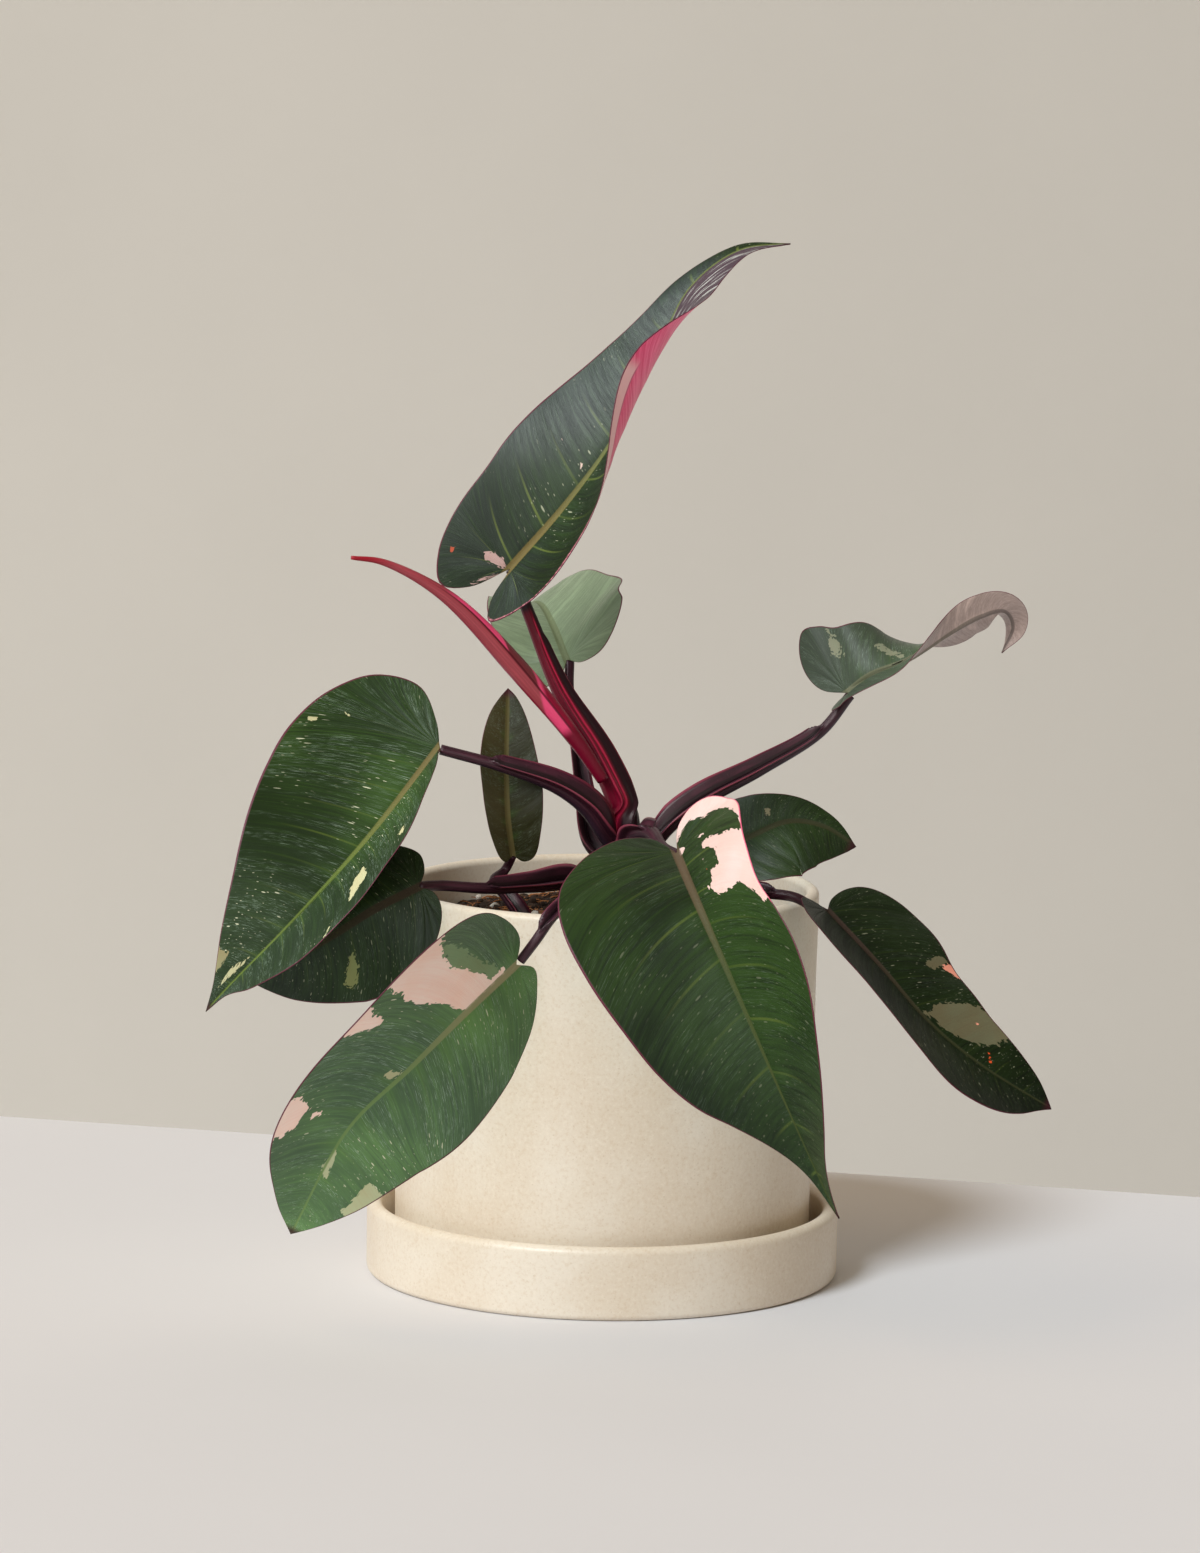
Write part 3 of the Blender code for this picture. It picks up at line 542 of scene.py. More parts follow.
def blade_grid(leaf):
    """Places on a leaf, one row for each fine vein: its x, y, vein root, step out and vein number."""
    length = leaf_frame(leaf)[4]
    p = np.linspace(0, 1, BLADE_ROWS)
    t = BLADE_STEPS[None, :]
    halves = []
    for side, sign in ((0, -1), (1, 1)):
        edge_x, edge_y, root = (np.interp(p, np.linspace(0, 1, EDGE_STEPS), values)[:, None]
                                for values in leaf_edge(leaf, side, length))
        bend_x, bend_y = root + 0.3 * (edge_x - root), 0.6 * edge_y
        x = (1 - t) ** 2 * root + 2 * t * (1 - t) * bend_x + t ** 2 * edge_x
        y = sign * (2 * t * (1 - t) * bend_y + t ** 2 * edge_y)
        halves.append(np.stack(np.broadcast_arrays(x, y, root, t, p[:, None]), -1))
    return np.concatenate([halves[0][:, :0:-1], halves[1]], axis=1), length


def leaf_normals(leaf, x, y, length, step=0.7):
    """The upper face's direction at places on a leaf."""
    onward = leaf_surface(leaf, x + step / length, y) - leaf_surface(leaf, x - step / length, y)
    outward = leaf_surface(leaf, x, y + step) - leaf_surface(leaf, x, y - step)
    return unit(np.cross(outward, onward))


def patch_distance(places, patches):
    """Distance in mm from each place to the nearest patch, negative inside one."""
    nearest = np.full(len(places), FAR_OFF)
    for patch in patches:
        start = np.asarray(patch, float)
        side = np.roll(start, -1, 0) - start
        offset = places[:, None] - start
        share = np.clip((offset * side).sum(-1) / np.maximum((side * side).sum(-1), TINY), 0, 1)
        reach = np.linalg.norm(offset - share[..., None] * side, axis=-1).min(1)
        spans = (start[:, 1] > places[:, 1:]) != (np.roll(start, -1, 0)[:, 1] > places[:, 1:])
        steep = np.where(side[:, 1] == 0, TINY, side[:, 1])
        passed = offset[..., 0] < offset[..., 1] * side[:, 0] / steep
        inside = (spans & passed).sum(1) % 2 == 1
        nearest = np.minimum(nearest, np.where(inside, -reach, reach))
    return nearest


def name_number(name):
    """A number of a leaf's own, so that no two leaves are waved or mottled alike."""
    return sum(map(ord, name))


def leaf_mesh(name, settings):
    """A leaf with its midrib channel, quilted side veins and softly waved margin."""
    leaf, look = LEAVES[name], LEAF_LOOKS[name]
    grid, length = blade_grid(leaf)
    x, y, root, t, p = (grid[..., k].ravel() for k in range(5))
    middle = leaf_surface(leaf, x, y)
    face = leaf_normals(leaf, x, y, length)
    phase = p * look.get("veins", 13)
    width = np.abs(y)
    fade = np.clip(1.05 - root, 0, 1)
    pillow = np.abs(np.sin(np.pi * phase)) ** 0.7 - 0.6
    body = np.sin(np.pi * np.clip(t, 0, 1)) ** 0.8
    relief = settings.vein_relief * MM_PER_METRE * pillow * body * np.clip(width / 8, 0, 1)
    channel = CHANNEL_DEPTH * fade * np.exp(-(width / CHANNEL_WIDTH) ** 2)
    rib = (RIB_DEPTH * fade + 0.1) * np.exp(-(width / RIB_WIDTH) ** 2)
    half = 0.5 * settings.leaf_thickness * MM_PER_METRE * (1 - 0.62 * t ** 4)
    seed = name_number(name)
    ripple = [noise.noise(Vector((k * 7.0 + seed, s * 3.0, 2.0))) for k, s in zip(p, np.sign(y))]
    wave = RIPPLE * np.array(ripple) * t ** 2 * np.clip(width / 12, 0, 1)
    ends = (p == 0) | (p == 1)
    channel[ends], rib[ends], relief[ends] = 0.2, 0.3, 0
    upper = middle + face * (half + relief - channel + wave)[:, None]
    lower = middle - face * (half - relief * 0.8 + rib - wave)[:, None]
    marks = np.stack([x * length, y, np.ones_like(x)], -1)
    veins = np.stack([root * length, t, phase], -1)
    groups = [patches for _, _, patches in look["marks"]] + [[]] * 3
    near = np.stack([patch_distance(marks[:, :2], patches) for patches in groups[:3]], -1)
    stored = {"spot": np.concatenate([marks, marks * [1, 1, -1]]), "vein": np.concatenate([veins, veins]),
              "marks": np.concatenate([near, near])}
    shape = (*grid.shape[:2], 3)
    return shell("leaf_" + name, upper.reshape(shape), lower.reshape(shape), stored)


# What each leaf's colouring has: the midrib's colours at the joint and at the tip and its half width
# in mm, how many side veins there are and how strong, how bright the greens are (partly painted light
# and shade, for how much light each leaf catches), the cream flecks, the painted sheen streaks and the
# gloss, the underside's colour, and up to three groups of marks, each a colour, how ragged its edge is
# in mm, and its patches as outlines of (mm along the midrib, mm to its right). Some leaves also have a
# greyish veil of painted sheen, a lighter core, a fade towards the tip that is painted shade, a right
# half darkened by painted shade, brown halves, a hotter margin, a dusky tip or a pink fold, in mm along
# the midrib, or their faces swapped.
LEAF_LOOKS = {
    "tall": {
        "midrib": (srgb(112, 98, 50), srgb(98, 108, 54)), "flecks": 0.6, "veins": 12, "vein": 0.55,
        "tone": 0.42, "sheen_streaks": 0.1, "gloss": 0.36, "under": srgb(74, 62, 62),
        "pink_fold": (24, 62, 92, 128), "dusk_tip": 112,
        "marks": [
            (srgb(176, 150, 146), 0.5, [
                [(-1.9, -11.2), (1.1, -7.9), (1.1, -3.9), (-0.9, -0.9), (-2.7, -5.9), (-3.6, -9.5)],
                [(-1.5, 1.0), (-7.2, -3.0), (-14.2, -7.5), (-9.8, -5.5), (-5.5, -2.6)]]),
            (srgb(214, 196, 184), 0.2, [
                [(53.6, -18.1), (51.3, -13.9), (50.4, -14.6), (51.9, -17.4)],
                [(49.7, -5.9), (49.4, -4.6), (46.9, -3.2), (46.1, -4.4)],
                [(27.3, -9.7), (26.7, -8.2), (26.3, -7.2), (25.2, -7.7)],
                [(9.8, -7.0), (10.1, -5.5), (8.9, -4.3), (8.2, -5.5)]]),
            (srgb(170, 74, 44), 0.4, [[(-7.0, -21.8), (-6.9, -21.0), (-10.4, -21.0), (-10.4, -22.8)]])]},
    "left": {
        "midrib": (srgb(112, 100, 58), srgb(98, 118, 44)), "flecks": 1.5, "veins": 17, "vein": 0.3,
        "tone": 0.9, "sheen_streaks": 0.7, "core": 0.3, "fade": 0.6, "under": SAGE,
        "marks": [
            (srgb(196, 200, 158), 0.3, [
                [(60.7, -12.6), (63.8, -18.6), (69.3, -19.5), (76.2, -22.0), (71.9, -16.8), (66.1, -13.8)],
                [(109.8, 1.7), (118.3, 2.2), (127.2, 2.8), (119.1, 4.2)],
                [(83.1, -20.7), (89.1, -23.9), (85.2, -22.8)],
                [(20.2, 47.3), (17.6, 43.6), (19.2, 43.1), (21.2, 45.8)],
                [(39.8, -18.3), (45.1, -21.0), (45.5, -18.6), (41.8, -17.7)],
                [(8.8, 36.8), (9.1, 34.2), (9.8, 33.7), (9.9, 35.9)]]),
            (srgb(150, 150, 112), 0.5, [[(115.4, 9.0), (120.4, 7.5), (124.4, 7.1), (122, 14), (117, 14)]]),
            (srgb(200, 80, 44), 0.1, [[(66.0, 27.0), (67.0, 27.0), (67.0, 28.2), (66.0, 28.2)]])]},
    "low_left": {
        "midrib": (srgb(60, 46, 32), srgb(58, 60, 30)), "flecks": 0.5, "vein": 0.15, "tone": 0.42,
        "sheen_streaks": 0.2, "under": SAGE,
        "marks": [
            (srgb(132, 142, 92), 0.6, [
                [(33.8, -8.5), (36.5, -16.5), (39.3, -19.8), (43.1, -20.7), (43.8, -17.9), (39.7, -13.2),
                 (36.5, -10.0)]])]},
    "front_left": {
        # Painted light: this leaf's greens and peach patches are made paler than their own colours, for the
        # shade it lies in, and its greyish veil is painted sheen.
        "midrib": (srgb(158, 150, 116), srgb(112, 140, 84)), "rib": 1.5, "flecks": 1.4, "veins": 14,
        "vein": 0.1, "tone": 2.0, "sheen_veil": (0.2, SHEEN), "core": 0.4, "sheen_streaks": 1.0, "under": SAGE,
        "marks": [
            (srgb(255, 230, 218), 0.55, [
                [(30, 46), (50, 46), (52.5, 39.6), (49.2, 38.8), (49.3, 34.3), (46.5, 30.8), (47.4, 27.7),
                 (44.4, 20.4), (36.3, 10.3), (31.5, 3.6), (30, 1.0), (18, 1.0), (6.4, 1.4), (6.4, 3.5),
                 (13.5, 4.3), (17.2, 9.0), (21.2, 15.3), (27.3, 21.8), (28.9, 30.7), (28, 38.2)],
                [(57.8, 32.8), (56, 27.4), (57.9, 26.7), (61.6, 28.5), (66, 31.9), (68.4, 33.6), (72, 40),
                 (56, 42)],
                [(88.9, 21.5), (89.4, 19.8), (91.3, 20.1), (95.5, 20.1), (100.4, 22.8), (104, 30), (90, 34),
                 (88, 26)],
                [(88.6, 14.5), (88.6, 13.0), (90.9, 14.1), (93.2, 16.6), (91.2, 17.5)]]),
            (srgb(120, 148, 106), 0.9, [
                [(29.4, 36), (22, 25), (20.2, 19), (15.5, 12.3), (8.4, 5.4), (8.4, 3.6), (13.3, 3.7),
                 (18.6, 9.6), (22.9, 15.3), (28.3, 21.8), (29.3, 28.8)]]),
            (srgb(178, 188, 150), 0.5, [
                [(68.0, 6.7), (65.1, 5.4), (62.2, 1.5), (65.4, 1.5), (68.4, 3.3)],
                [(108.2, -16.4), (109.7, -22), (118, -27), (128, -18), (124.2, -12.4), (115.8, -15.2)],
                [(99.9, -0.4), (105.6, -2.2), (115.9, -2.4), (109.0, 1.2)]])]},
    "front": {
        "midrib": (srgb(92, 76, 58), srgb(62, 72, 32)), "rib": 2.0, "flecks": 0.15, "veins": 12,
        "vein": 0.32, "tone": 0.52, "painted_shade_half": 0.2, "gloss": 0.24, "core": 0.15, "hot_edge": True,
        "sheen_streaks": 0.12, "under": SAGE,
        "marks": [
            (srgb(222, 200, 195), 0.45, [
                [(-2, 1), (-10, 0), (-20, -8), (-22, -24), (-12, -38), (10, -42), (28, -42), (28.5, -32.5),
                 (26, -31.4), (19.8, -31), (13.5, -29.7), (8.5, -28.2), (1.7, -23.7), (-1.5, -20.4),
                 (-0.6, -18.3), (-4, -14.4), (-6.8, -10.8), (-6.7, -7.9), (-5.5, -5.1), (-3.4, -2.4)],
                [(28.2, -31), (28, -42), (50, -42), (52, -30), (46.5, -26.5), (43.8, -24.3), (41.3, -22.7),
                 (40.4, -20.2), (40, -16.7), (39.6, -13), (38.7, -11.1), (36.7, -9.9), (35.4, -8.4),
                 (32.6, -7.3), (32.4, -10.6), (31, -11), (28.7, -10.9), (29.4, -14), (28.9, -16.1),
                 (25.9, -16.3), (22.4, -17.3), (14.1, -11.3), (12, -12.7), (12, -14.5), (14.5, -17.4),
                 (19.4, -22.2), (22.5, -26.4), (27.8, -31.3)],
                [(0.2, -1.2), (2.8, -5), (4.7, -3.5), (4.9, -1.2)],
                [(20.4, -9.0), (21.4, -8.9), (21.6, -10.1), (20.5, -10.2)],
                [(5.9, -11.4), (6.7, -11.2), (8.2, -14.6), (7.2, -14.8)],
                [(34.6, -5.2), (35.4, -5.0), (35.9, -6.4), (35.1, -6.6)],
                [(38.2, -7.2), (39.0, -7.0), (39.6, -8.4), (38.8, -8.6)]]),
            (srgb(214, 84, 48), 0.1, [
                [(25.6, -10.6), (26.6, -10.5), (26.7, -9.9), (25.7, -9.8)],
                [(29.0, -9.5), (29.9, -9.4), (29.9, -8.7), (29.0, -8.7)],
                [(21.2, -5.3), (22.0, -5.2), (22.0, -4.6), (21.2, -4.6)],
                [(37.2, 34.2), (38.4, 34.2), (38.4, 35.6), (37.2, 35.6)]])]},
    "right": {
        "midrib": (srgb(62, 48, 40), srgb(52, 56, 32)), "flecks": 0.35, "vein": 0.08, "tone": 0.2,
        "sheen_streaks": 0.1, "gloss": 0.2, "under": SAGE,
        "marks": [
            (srgb(98, 99, 76), 0.6, [
                [(55, -6.8), (55.5, -9.4), (60.9, -15.3), (66.3, -19), (74.6, -21), (78, -28), (92, -24),
                 (88.8, -14.5), (84.5, -11.9), (86.5, -10.8), (82.2, -8.2), (77.1, -5.9), (71.8, -4.3),
                 (67.4, -3.2), (63.1, -2.2), (58.7, -2.6), (53.8, -1.7), (56, -4.4)],
                [(37.8, -17.3), (38, -20.6), (37.8, -26.1), (42.6, -27.7), (42.6, -23.1), (42.8, -19.9)]]),
            (srgb(228, 158, 138), 0.4, [
                [(42.6, -23.1), (43.5, -27.2), (48, -33), (58, -32), (53.4, -26.2), (49, -25.1),
                 (45.1, -23.8)],
                [(73.4, -13.9), (73.2, -12.6), (74.2, -12.9), (74.6, -14.0)]]),
            (srgb(214, 84, 40), 0.1, [[(83.2, -6.2), (84.2, -6.2), (87, -3.2), (86, -2.6)]])]},
    "back_right": {
        "midrib": (srgb(60, 60, 36), srgb(54, 58, 34)), "rib": 1.2, "flecks": 0.25, "vein": 0.06,
        "tone": 0.5, "sheen_streaks": 0.2, "under": SAGE,
        "marks": [
            (srgb(140, 140, 110), 0.3, [[(19.5, -7.8), (20.7, -6.4), (19.5, -4.0), (18.7, -5.3)]]),
            (srgb(170, 90, 60), 0.2, [[(33, -14), (37, -15.5), (37.5, -14.8), (33.5, -13.2)]])]},
    "high_right": {
        "midrib": (srgb(112, 116, 92), srgb(92, 84, 80)), "flecks": 0.2, "vein": 0.1, "tone": 0.8,
        "sheen_veil": (0.45, srgb(88, 98, 90)), "sheen_streaks": 0.6, "under": srgb(176, 158, 152),
        "marks": [
            (srgb(134, 144, 122), 0.9, [
                [(5.0, -25.6), (7.1, -19.5), (6.3, -13.3), (2.5, -15.1), (2.4, -18.1), (4.0, -22.1)],
                [(18.6, -10.9), (21.5, -10.5), (24.6, -7.0), (27.8, -2.8), (26.7, -1.6), (22.2, -4.5),
                 (19.2, -7.5)]])]},
    "back": {
        "midrib": (srgb(96, 104, 70), srgb(90, 100, 66)), "flecks": 0.2, "tone": 0.8, "flip": True,
        "under": srgb(118, 136, 108), "marks": []},
    "small": {
        "midrib": (srgb(84, 76, 44), srgb(76, 70, 36)), "rib": 1.1, "flecks": 0.1, "veins": 9,
        "vein": 0.06, "tone": 0.7, "gloss": 0.15, "halves": (srgb(58, 50, 28), srgb(36, 32, 8)),
        "under": srgb(80, 66, 52), "marks": []},
}


class LeafFinish(Finish):
    """A leaf's finish with its own look, its stored places and the streaks its colours follow."""

    def __init__(self, name, settings):
        super().__init__("leaf_" + name, 0.36)
        self.own = LEAF_LOOKS[name]
        # Each leaf's greens made lighter or darker by its tone: partly its own shade of green, partly painted
        # light and shade for how much light the leaf catches.
        self.dark = shade(settings.dark_green, self.own["tone"])
        self.light = shade(settings.light_green, self.own["tone"])
        self.along, self.across, self.side = self.split(self.stored("spot"))
        _, self.out, self.phase = self.split(self.stored("vein"))
        self.width = self.size(self.across)
        self.half = self.math("SIGN", self.across)
        self.flat = self.join(self.along, self.across, float(name_number(name) % 90))
        self.wide = self.noise(self.flat, 0.02, 2)
        self.bands = self.streaks(2.2, 0.7, 3)
        self.fine = self.streaks(11.0, 1.1, 5, 0.7)
        self.hair = self.streaks(52.0, 6.0, 3, 0.7)

    def veined(self, across_veins, along_veins, layer=0.0):
        """Places for a pattern that follows the side veins."""
        return self.join(self.times(self.phase, across_veins), self.times(self.out, along_veins), layer)

    def streaks(self, across_veins, along_veins, detail, roughness=0.6):
        """Noise drawn out along the side veins, its own on each half."""
        place = self.veined(across_veins, along_veins, self.times(self.half, 7.0))
        return self.noise(place, 1.0, detail, roughness)


def leaf_greens(m):
    """The mottled greens, with the painted shade, the veil of painted sheen and the painted sheen streaks of
    this leaf's own look.
    """
    look = m.own
    green = m.mix(m.ramp(m.wide, 0.36, 0.64), m.dark, m.light)
    green = m.wash(green, shade(m.dark, 0.6), m.bands, 0.5, 0.3, 0.3)
    green = m.wash(green, shade(m.light, 1.4), m.fine, 0.5, 0.64, 0.4)
    green = m.wash(green, shade(m.dark, 0.4), m.fine, 0.5, 0.36, 0.6)
    # Painted shade: one half of the leaf made darker, for the less light falling on it.
    if "painted_shade_half" in look:
        green = m.wash(green, shade(m.dark, 0.5), m.across, -2.0, 4.0, look["painted_shade_half"])
    if "core" in look:
        near_rib = m.times(m.ramp(m.width, 26.0, 2.0), m.ramp(m.wide, 0.3, 0.55), look["core"])
        green = m.mix(near_rib, green, shade(m.light, 1.5 * look["tone"] ** 0.5))
    # Painted shade: the far part of the leaf made darker, for the less light and sheen it catches.
    if "fade" in look:
        green = m.wash(green, shade(m.dark, 0.7), m.along, 10.0, 75.0, look["fade"])
    if "halves" in look:
        green = m.mix(0.85, green, m.mix(m.ramp(m.across, -0.5, 0.5), *look["halves"]))
    # Painted sheen: a greyish veil laid over the greens, standing in for the leaf's soft gloss.
    if "sheen_veil" in look:
        amount, veil = look["sheen_veil"]
        green = m.mix(amount, green, veil)
    # Painted sheen: pale streaks along the side veins, standing in for the gloss catching the light.
    sheen_streaks = m.times(m.ramp(m.hair, 0.52, 0.72), m.ramp(m.bands, 0.4, 0.6), look.get("sheen_streaks", 0.3))
    return m.mix(sheen_streaks, green, PAINTED_SHEEN)


def leaf_veins(m, green):
    """Side veins of uneven strength, each in a soft glow."""
    number = m.math("PINGPONG", m.phase, 0.5)
    whole = m.times(m.math("ROUND", m.phase), 7.3)
    strong = m.ramp(m.noise(m.join(whole, m.times(m.half, 5.0)), 1.0, 0), 0.3, 0.7, 0.3)
    vein = m.times(m.ramp(number, 0.04, 0.01), m.ramp(m.out, 0.8, 0.15), strong, m.own.get("vein", 0.25))
    green = m.mix(vein, green, LIME_VEIN)
    glow = m.times(m.ramp(number, 0.3, 0.0), m.ramp(m.out, 0.4, 0.02), 0.3)
    return m.mix(glow, green, shade(m.light, 1.4))


def leaf_flecks(m, green):
    """Small and tiny cream flecks on the lighter greens."""
    flecks = m.dots(m.veined(6.5, 4.0, 3.0), 1.7, 0.26, 0.1)
    tiny = m.times(m.dots(m.veined(9.0, 7.0, 9.0), 2.2, 0.26, 0.2), 0.7)
    flecks = m.times(m.math("MAXIMUM", flecks, tiny), m.ramp(m.wide, 0.38, 0.52))
    return m.mix(m.math("MULTIPLY", flecks, 0.8 * m.own["flecks"], clamp=True), green, FLECK)


def leaf_marks(m, green):
    """The variegated patches with their toothed edges, and how pink the margin beside them is."""
    teeth = m.minus(m.cells(m.veined(6.0, 26.0), 1.0)[0], 0.5)
    blush = m.noise(m.flat, 0.06, 3)
    pink = 0.0
    for distance, (colour, ragged, _) in zip(m.split(m.stored("marks")), m.own["marks"]):
        reach = m.plus(distance, m.times(teeth, 2.6 * ragged))
        warm = m.wash(colour, tinted(colour, 1.0, 0.9, 0.86), blush, 0.35, 0.65)
        warm = m.wash(warm, tinted(colour, 0.95, 0.68, 0.66), m.fine, 0.6, 0.35, 0.2)
        green = m.wash(green, warm, reach, 0.12, -0.12)
        if "hot_edge" in m.own:
            pink = m.math("MAXIMUM", pink, m.ramp(distance, 3.0, 0.5))
    return green, pink


def dusky_tip(m, green):
    """The tall leaf's dusky far end, and the rosy rim of its right half."""
    start = m.own["dusk_tip"]
    lines = m.noise(m.join(m.times(m.across, 1.1), m.times(m.along, 0.05)), 1.0, 3, 0.6)
    dusk = m.mix(m.ramp(lines, 0.52, 0.68), srgb(72, 56, 66), srgb(186, 190, 186))
    green = m.mix(m.times(m.ramp(m.along, start, start + 3.0), m.ramp(m.across, -0.5, 1.0)), green, dusk)
    rim = m.minus(m.out, m.ramp(m.along, 5.0, 40.0, 0.95, 0.87))
    curled = m.times(m.ramp(rim, 0.0, 0.03), m.ramp(m.across, 8.0, 10.0), m.ramp(m.along, 84.0, 76.0))
    rosy = m.mix(m.ramp(m.fine, 0.42, 0.6), srgb(112, 56, 72), srgb(206, 138, 146))
    return m.mix(curled, green, rosy)


def pink_fold(m, under):
    """The pink underside of the tall leaf's folded half, with a paler band inside its margin, its pink made
    as bright as it goes: partly painted light for light shining through the fold.
    """
    low, rosy, high, stop = m.own["pink_fold"]
    ragged = m.plus(m.times(m.noise(m.flat, 0.08, 4), 30.0), m.times(m.fine, 8.0))
    ragged = m.plus(m.along, m.minus(ragged, 19.0))
    # The rose is the fold's own pink made as bright as it goes, partly painted light standing in for light
    # shining through the thin fold.
    rose = m.mix(m.ramp(m.fine, 0.4, 0.65), srgb(236, 62, 118), srgb(255, 108, 152))
    rose = m.wash(rose, srgb(188, 112, 124), ragged, rosy, rosy - 14.0)
    below = m.ramp(m.along, high, high - 6.0)
    rose = m.mix(m.times(m.ramp(m.out, 0.78, 0.82), below), rose, srgb(250, 196, 198))
    line = m.ramp(m.size(m.minus(m.out, 0.79)), 0.02, 0.01)
    rose = m.mix(m.times(line, below), rose, HOT_PINK)
    ends = m.times(m.ramp(ragged, low, low + 3.0), m.ramp(ragged, stop, stop - 3.0))
    return m.mix(m.times(m.ramp(m.across, 1.0, 2.0), ends), under, rose)


def leaf_finish(name, settings):
    """A leaf's colouring: greens streaked along the side veins, its marks, midrib and margin."""
    m = LeafFinish(name, settings)
    look = m.own
    green, pink = leaf_marks(m, leaf_flecks(m, leaf_veins(m, leaf_greens(m))))
    if "dusk_tip" in look:
        green = dusky_tip(m, green)
    rib = m.mix(m.ramp(m.along, 10.0, 75.0), *look["midrib"])
    thick = m.ramp(m.along, -5.0, 130.0, look.get("rib", 1.6), 0.4)
    thick = m.plus(thick, m.times(m.minus(m.fine, 0.5), 0.5))
    ribbed = m.ramp(m.minus(m.width, thick), 0.25, -0.25)
    green = m.mix(m.times(ribbed, 0.85), green, rib)
    margin = m.mix(pink, settings.margin_pink, HOT_PINK)
    edge = m.ramp(m.out, 0.978, 0.992)
    green = m.mix(edge, green, margin)
    length = leaf_frame(LEAVES[name])[4]
    green = m.wash(green, LEAF_TIP, m.along, length - 5.0, length - 1.5, 0.9)
    pale = look["under"]
    under = m.mix(m.ramp(m.fine, 0.35, 0.7), shade(pale, 0.75), pale)
    under = m.wash(under, shade(pale, 1.6), m.hair, 0.5, 0.72, 0.5)
    under = m.wash(under, shade(pale, 1.5), m.bands, 0.52, 0.66, 0.45)
    if "pink_fold" in look:
        under = pink_fold(m, under)
    under = m.mix(m.times(ribbed, 0.7), under, rib)
    under = m.mix(edge, under, margin)
    turned = (-0.2, 0.2) if "flip" in look else (0.2, -0.2)
    m.bump(m.plus(m.fine, m.times(m.hair, 0.5)), 0.35, 0.0004)
    rough = m.plus(m.ramp(m.fine, 0.3, 0.7, 0.46, 0.34), m.times(ribbed, 0.25))
    return m.look(Base_Color=m.wash(green, under, m.side, *turned), Roughness=rough,
                  Specular_IOR_Level=look.get("gloss", 0.3), Specular_Tint=(0.84, 0.93, 1.0, 1.0))


def stalk_sweep(name, points, radii, section, sides=64, spacing=1.2):
    """A closed stalk swept along points; section(s, angle) gives its radius as a share of the radii."""
    length = smooth_line(points, 10)[1]
    count = max(12, round(length / spacing))
    line, _ = smooth_line(points, count)
    s = np.linspace(0, 1, count)
    radius = along(radii, s)[:, 0]
    forward = unit(np.gradient(line, axis=0))
    inward = np.array(STEM_MIDDLE) - line
    inward[:, 2] = 0
    upper = square_to(unit(inward) * 0.5 + np.array([0, -0.8, 0.9]), forward)
    right = np.cross(forward, upper)
    angles = np.linspace(-math.pi, math.pi, sides, endpoint=False)
    share = np.array([[section(a, b) for b in angles] for a in s])
    reach = radius[:, None] * share
    ring = (line[:, None] + upper[:, None] * (np.cos(angles)[None, :] * reach)[..., None]
            + right[:, None] * (np.sin(angles)[None, :] * reach)[..., None])
    corners = [line[0], *ring.reshape(-1, 3), line[-1]]
    faces = []
    for i in range(count - 1):
        for j in range(sides):
            a, b = 1 + i * sides + j, 1 + i * sides + (j + 1) % sides
            faces.append((a, b, b + sides, a + sides))
    last = 1 + (count - 1) * sides
    for j in range(sides):
        k = (j + 1) % sides
        faces += [(0, 1 + k, 1 + j), (len(corners) - 1, last + j, last + k)]
    turns = np.repeat(angles[None, :], count, 0).ravel()
    marks = np.stack([np.repeat(s * length, sides), turns, np.repeat(s, sides)], -1)
    marks = np.concatenate([[[0, 0, 0]], marks, [[length, 0, 1]]])
    rise = np.clip((share.ravel() - 1.0) / max(0.01, float(share.max()) - 1.0), 0, 1)
    depth = np.clip(1.0 - share.ravel(), 0, 1)
    wing = np.stack([np.concatenate([[0], values, [0]]) for values in (rise, depth, depth)], -1)
    mesh = stored_mesh(name, corners, faces, {"stalk": marks, "wing": wing})
    shape = bmesh.new()
    shape.from_mesh(mesh)
    return closed_mesh(shape, mesh)


def bell(value, middle, width):
    return math.exp(-((value - middle) / width) ** 2)


def petiole_section(sheath, wing):
    """A petiole's cross-section: up to the sheath's tip, two thin wings stand up round a trough."""
    def share(s, angle):
        left = max(0.0, min(1.0, (sheath - s) / 0.045))
        height = wing * left ** 0.35 * min(1.0, 0.2 + s * 4) * (1.2 - 0.3 * s / sheath)
        lean = 0.8 * left ** 0.4
        wings = 0.78 * height * (bell(angle, lean, 0.15) + bell(angle, -lean, 0.15))
        trough = 0.5 * height * bell(angle, 0, 0.55 * max(left, 0.3) ** 0.4)
        plain = 1 - 0.12 * (1 - left) * bell(angle, 0, 0.5)
        return plain - trough + min(wings, 0.95 * height) + 0.012 * math.sin(11 * angle)
    return share


def spear_section(s, angle):
    """The rolled new leaf: one overlapping edge winding slowly round it."""
    turn = ((angle - 2.2 - 1.8 * s) / (2 * math.pi)) % 1
    return 1.06 - 0.18 * turn ** 4


def stem_section(s, angle):
    """The stem: leaf scars as low rings, and a slightly ribbed skin."""
    rings = sum(bell(s, place, 0.012) for place in STEM_SCARS)
    return 1 + 0.05 * rings + 0.02 * math.sin(5 * angle + 9 * s)


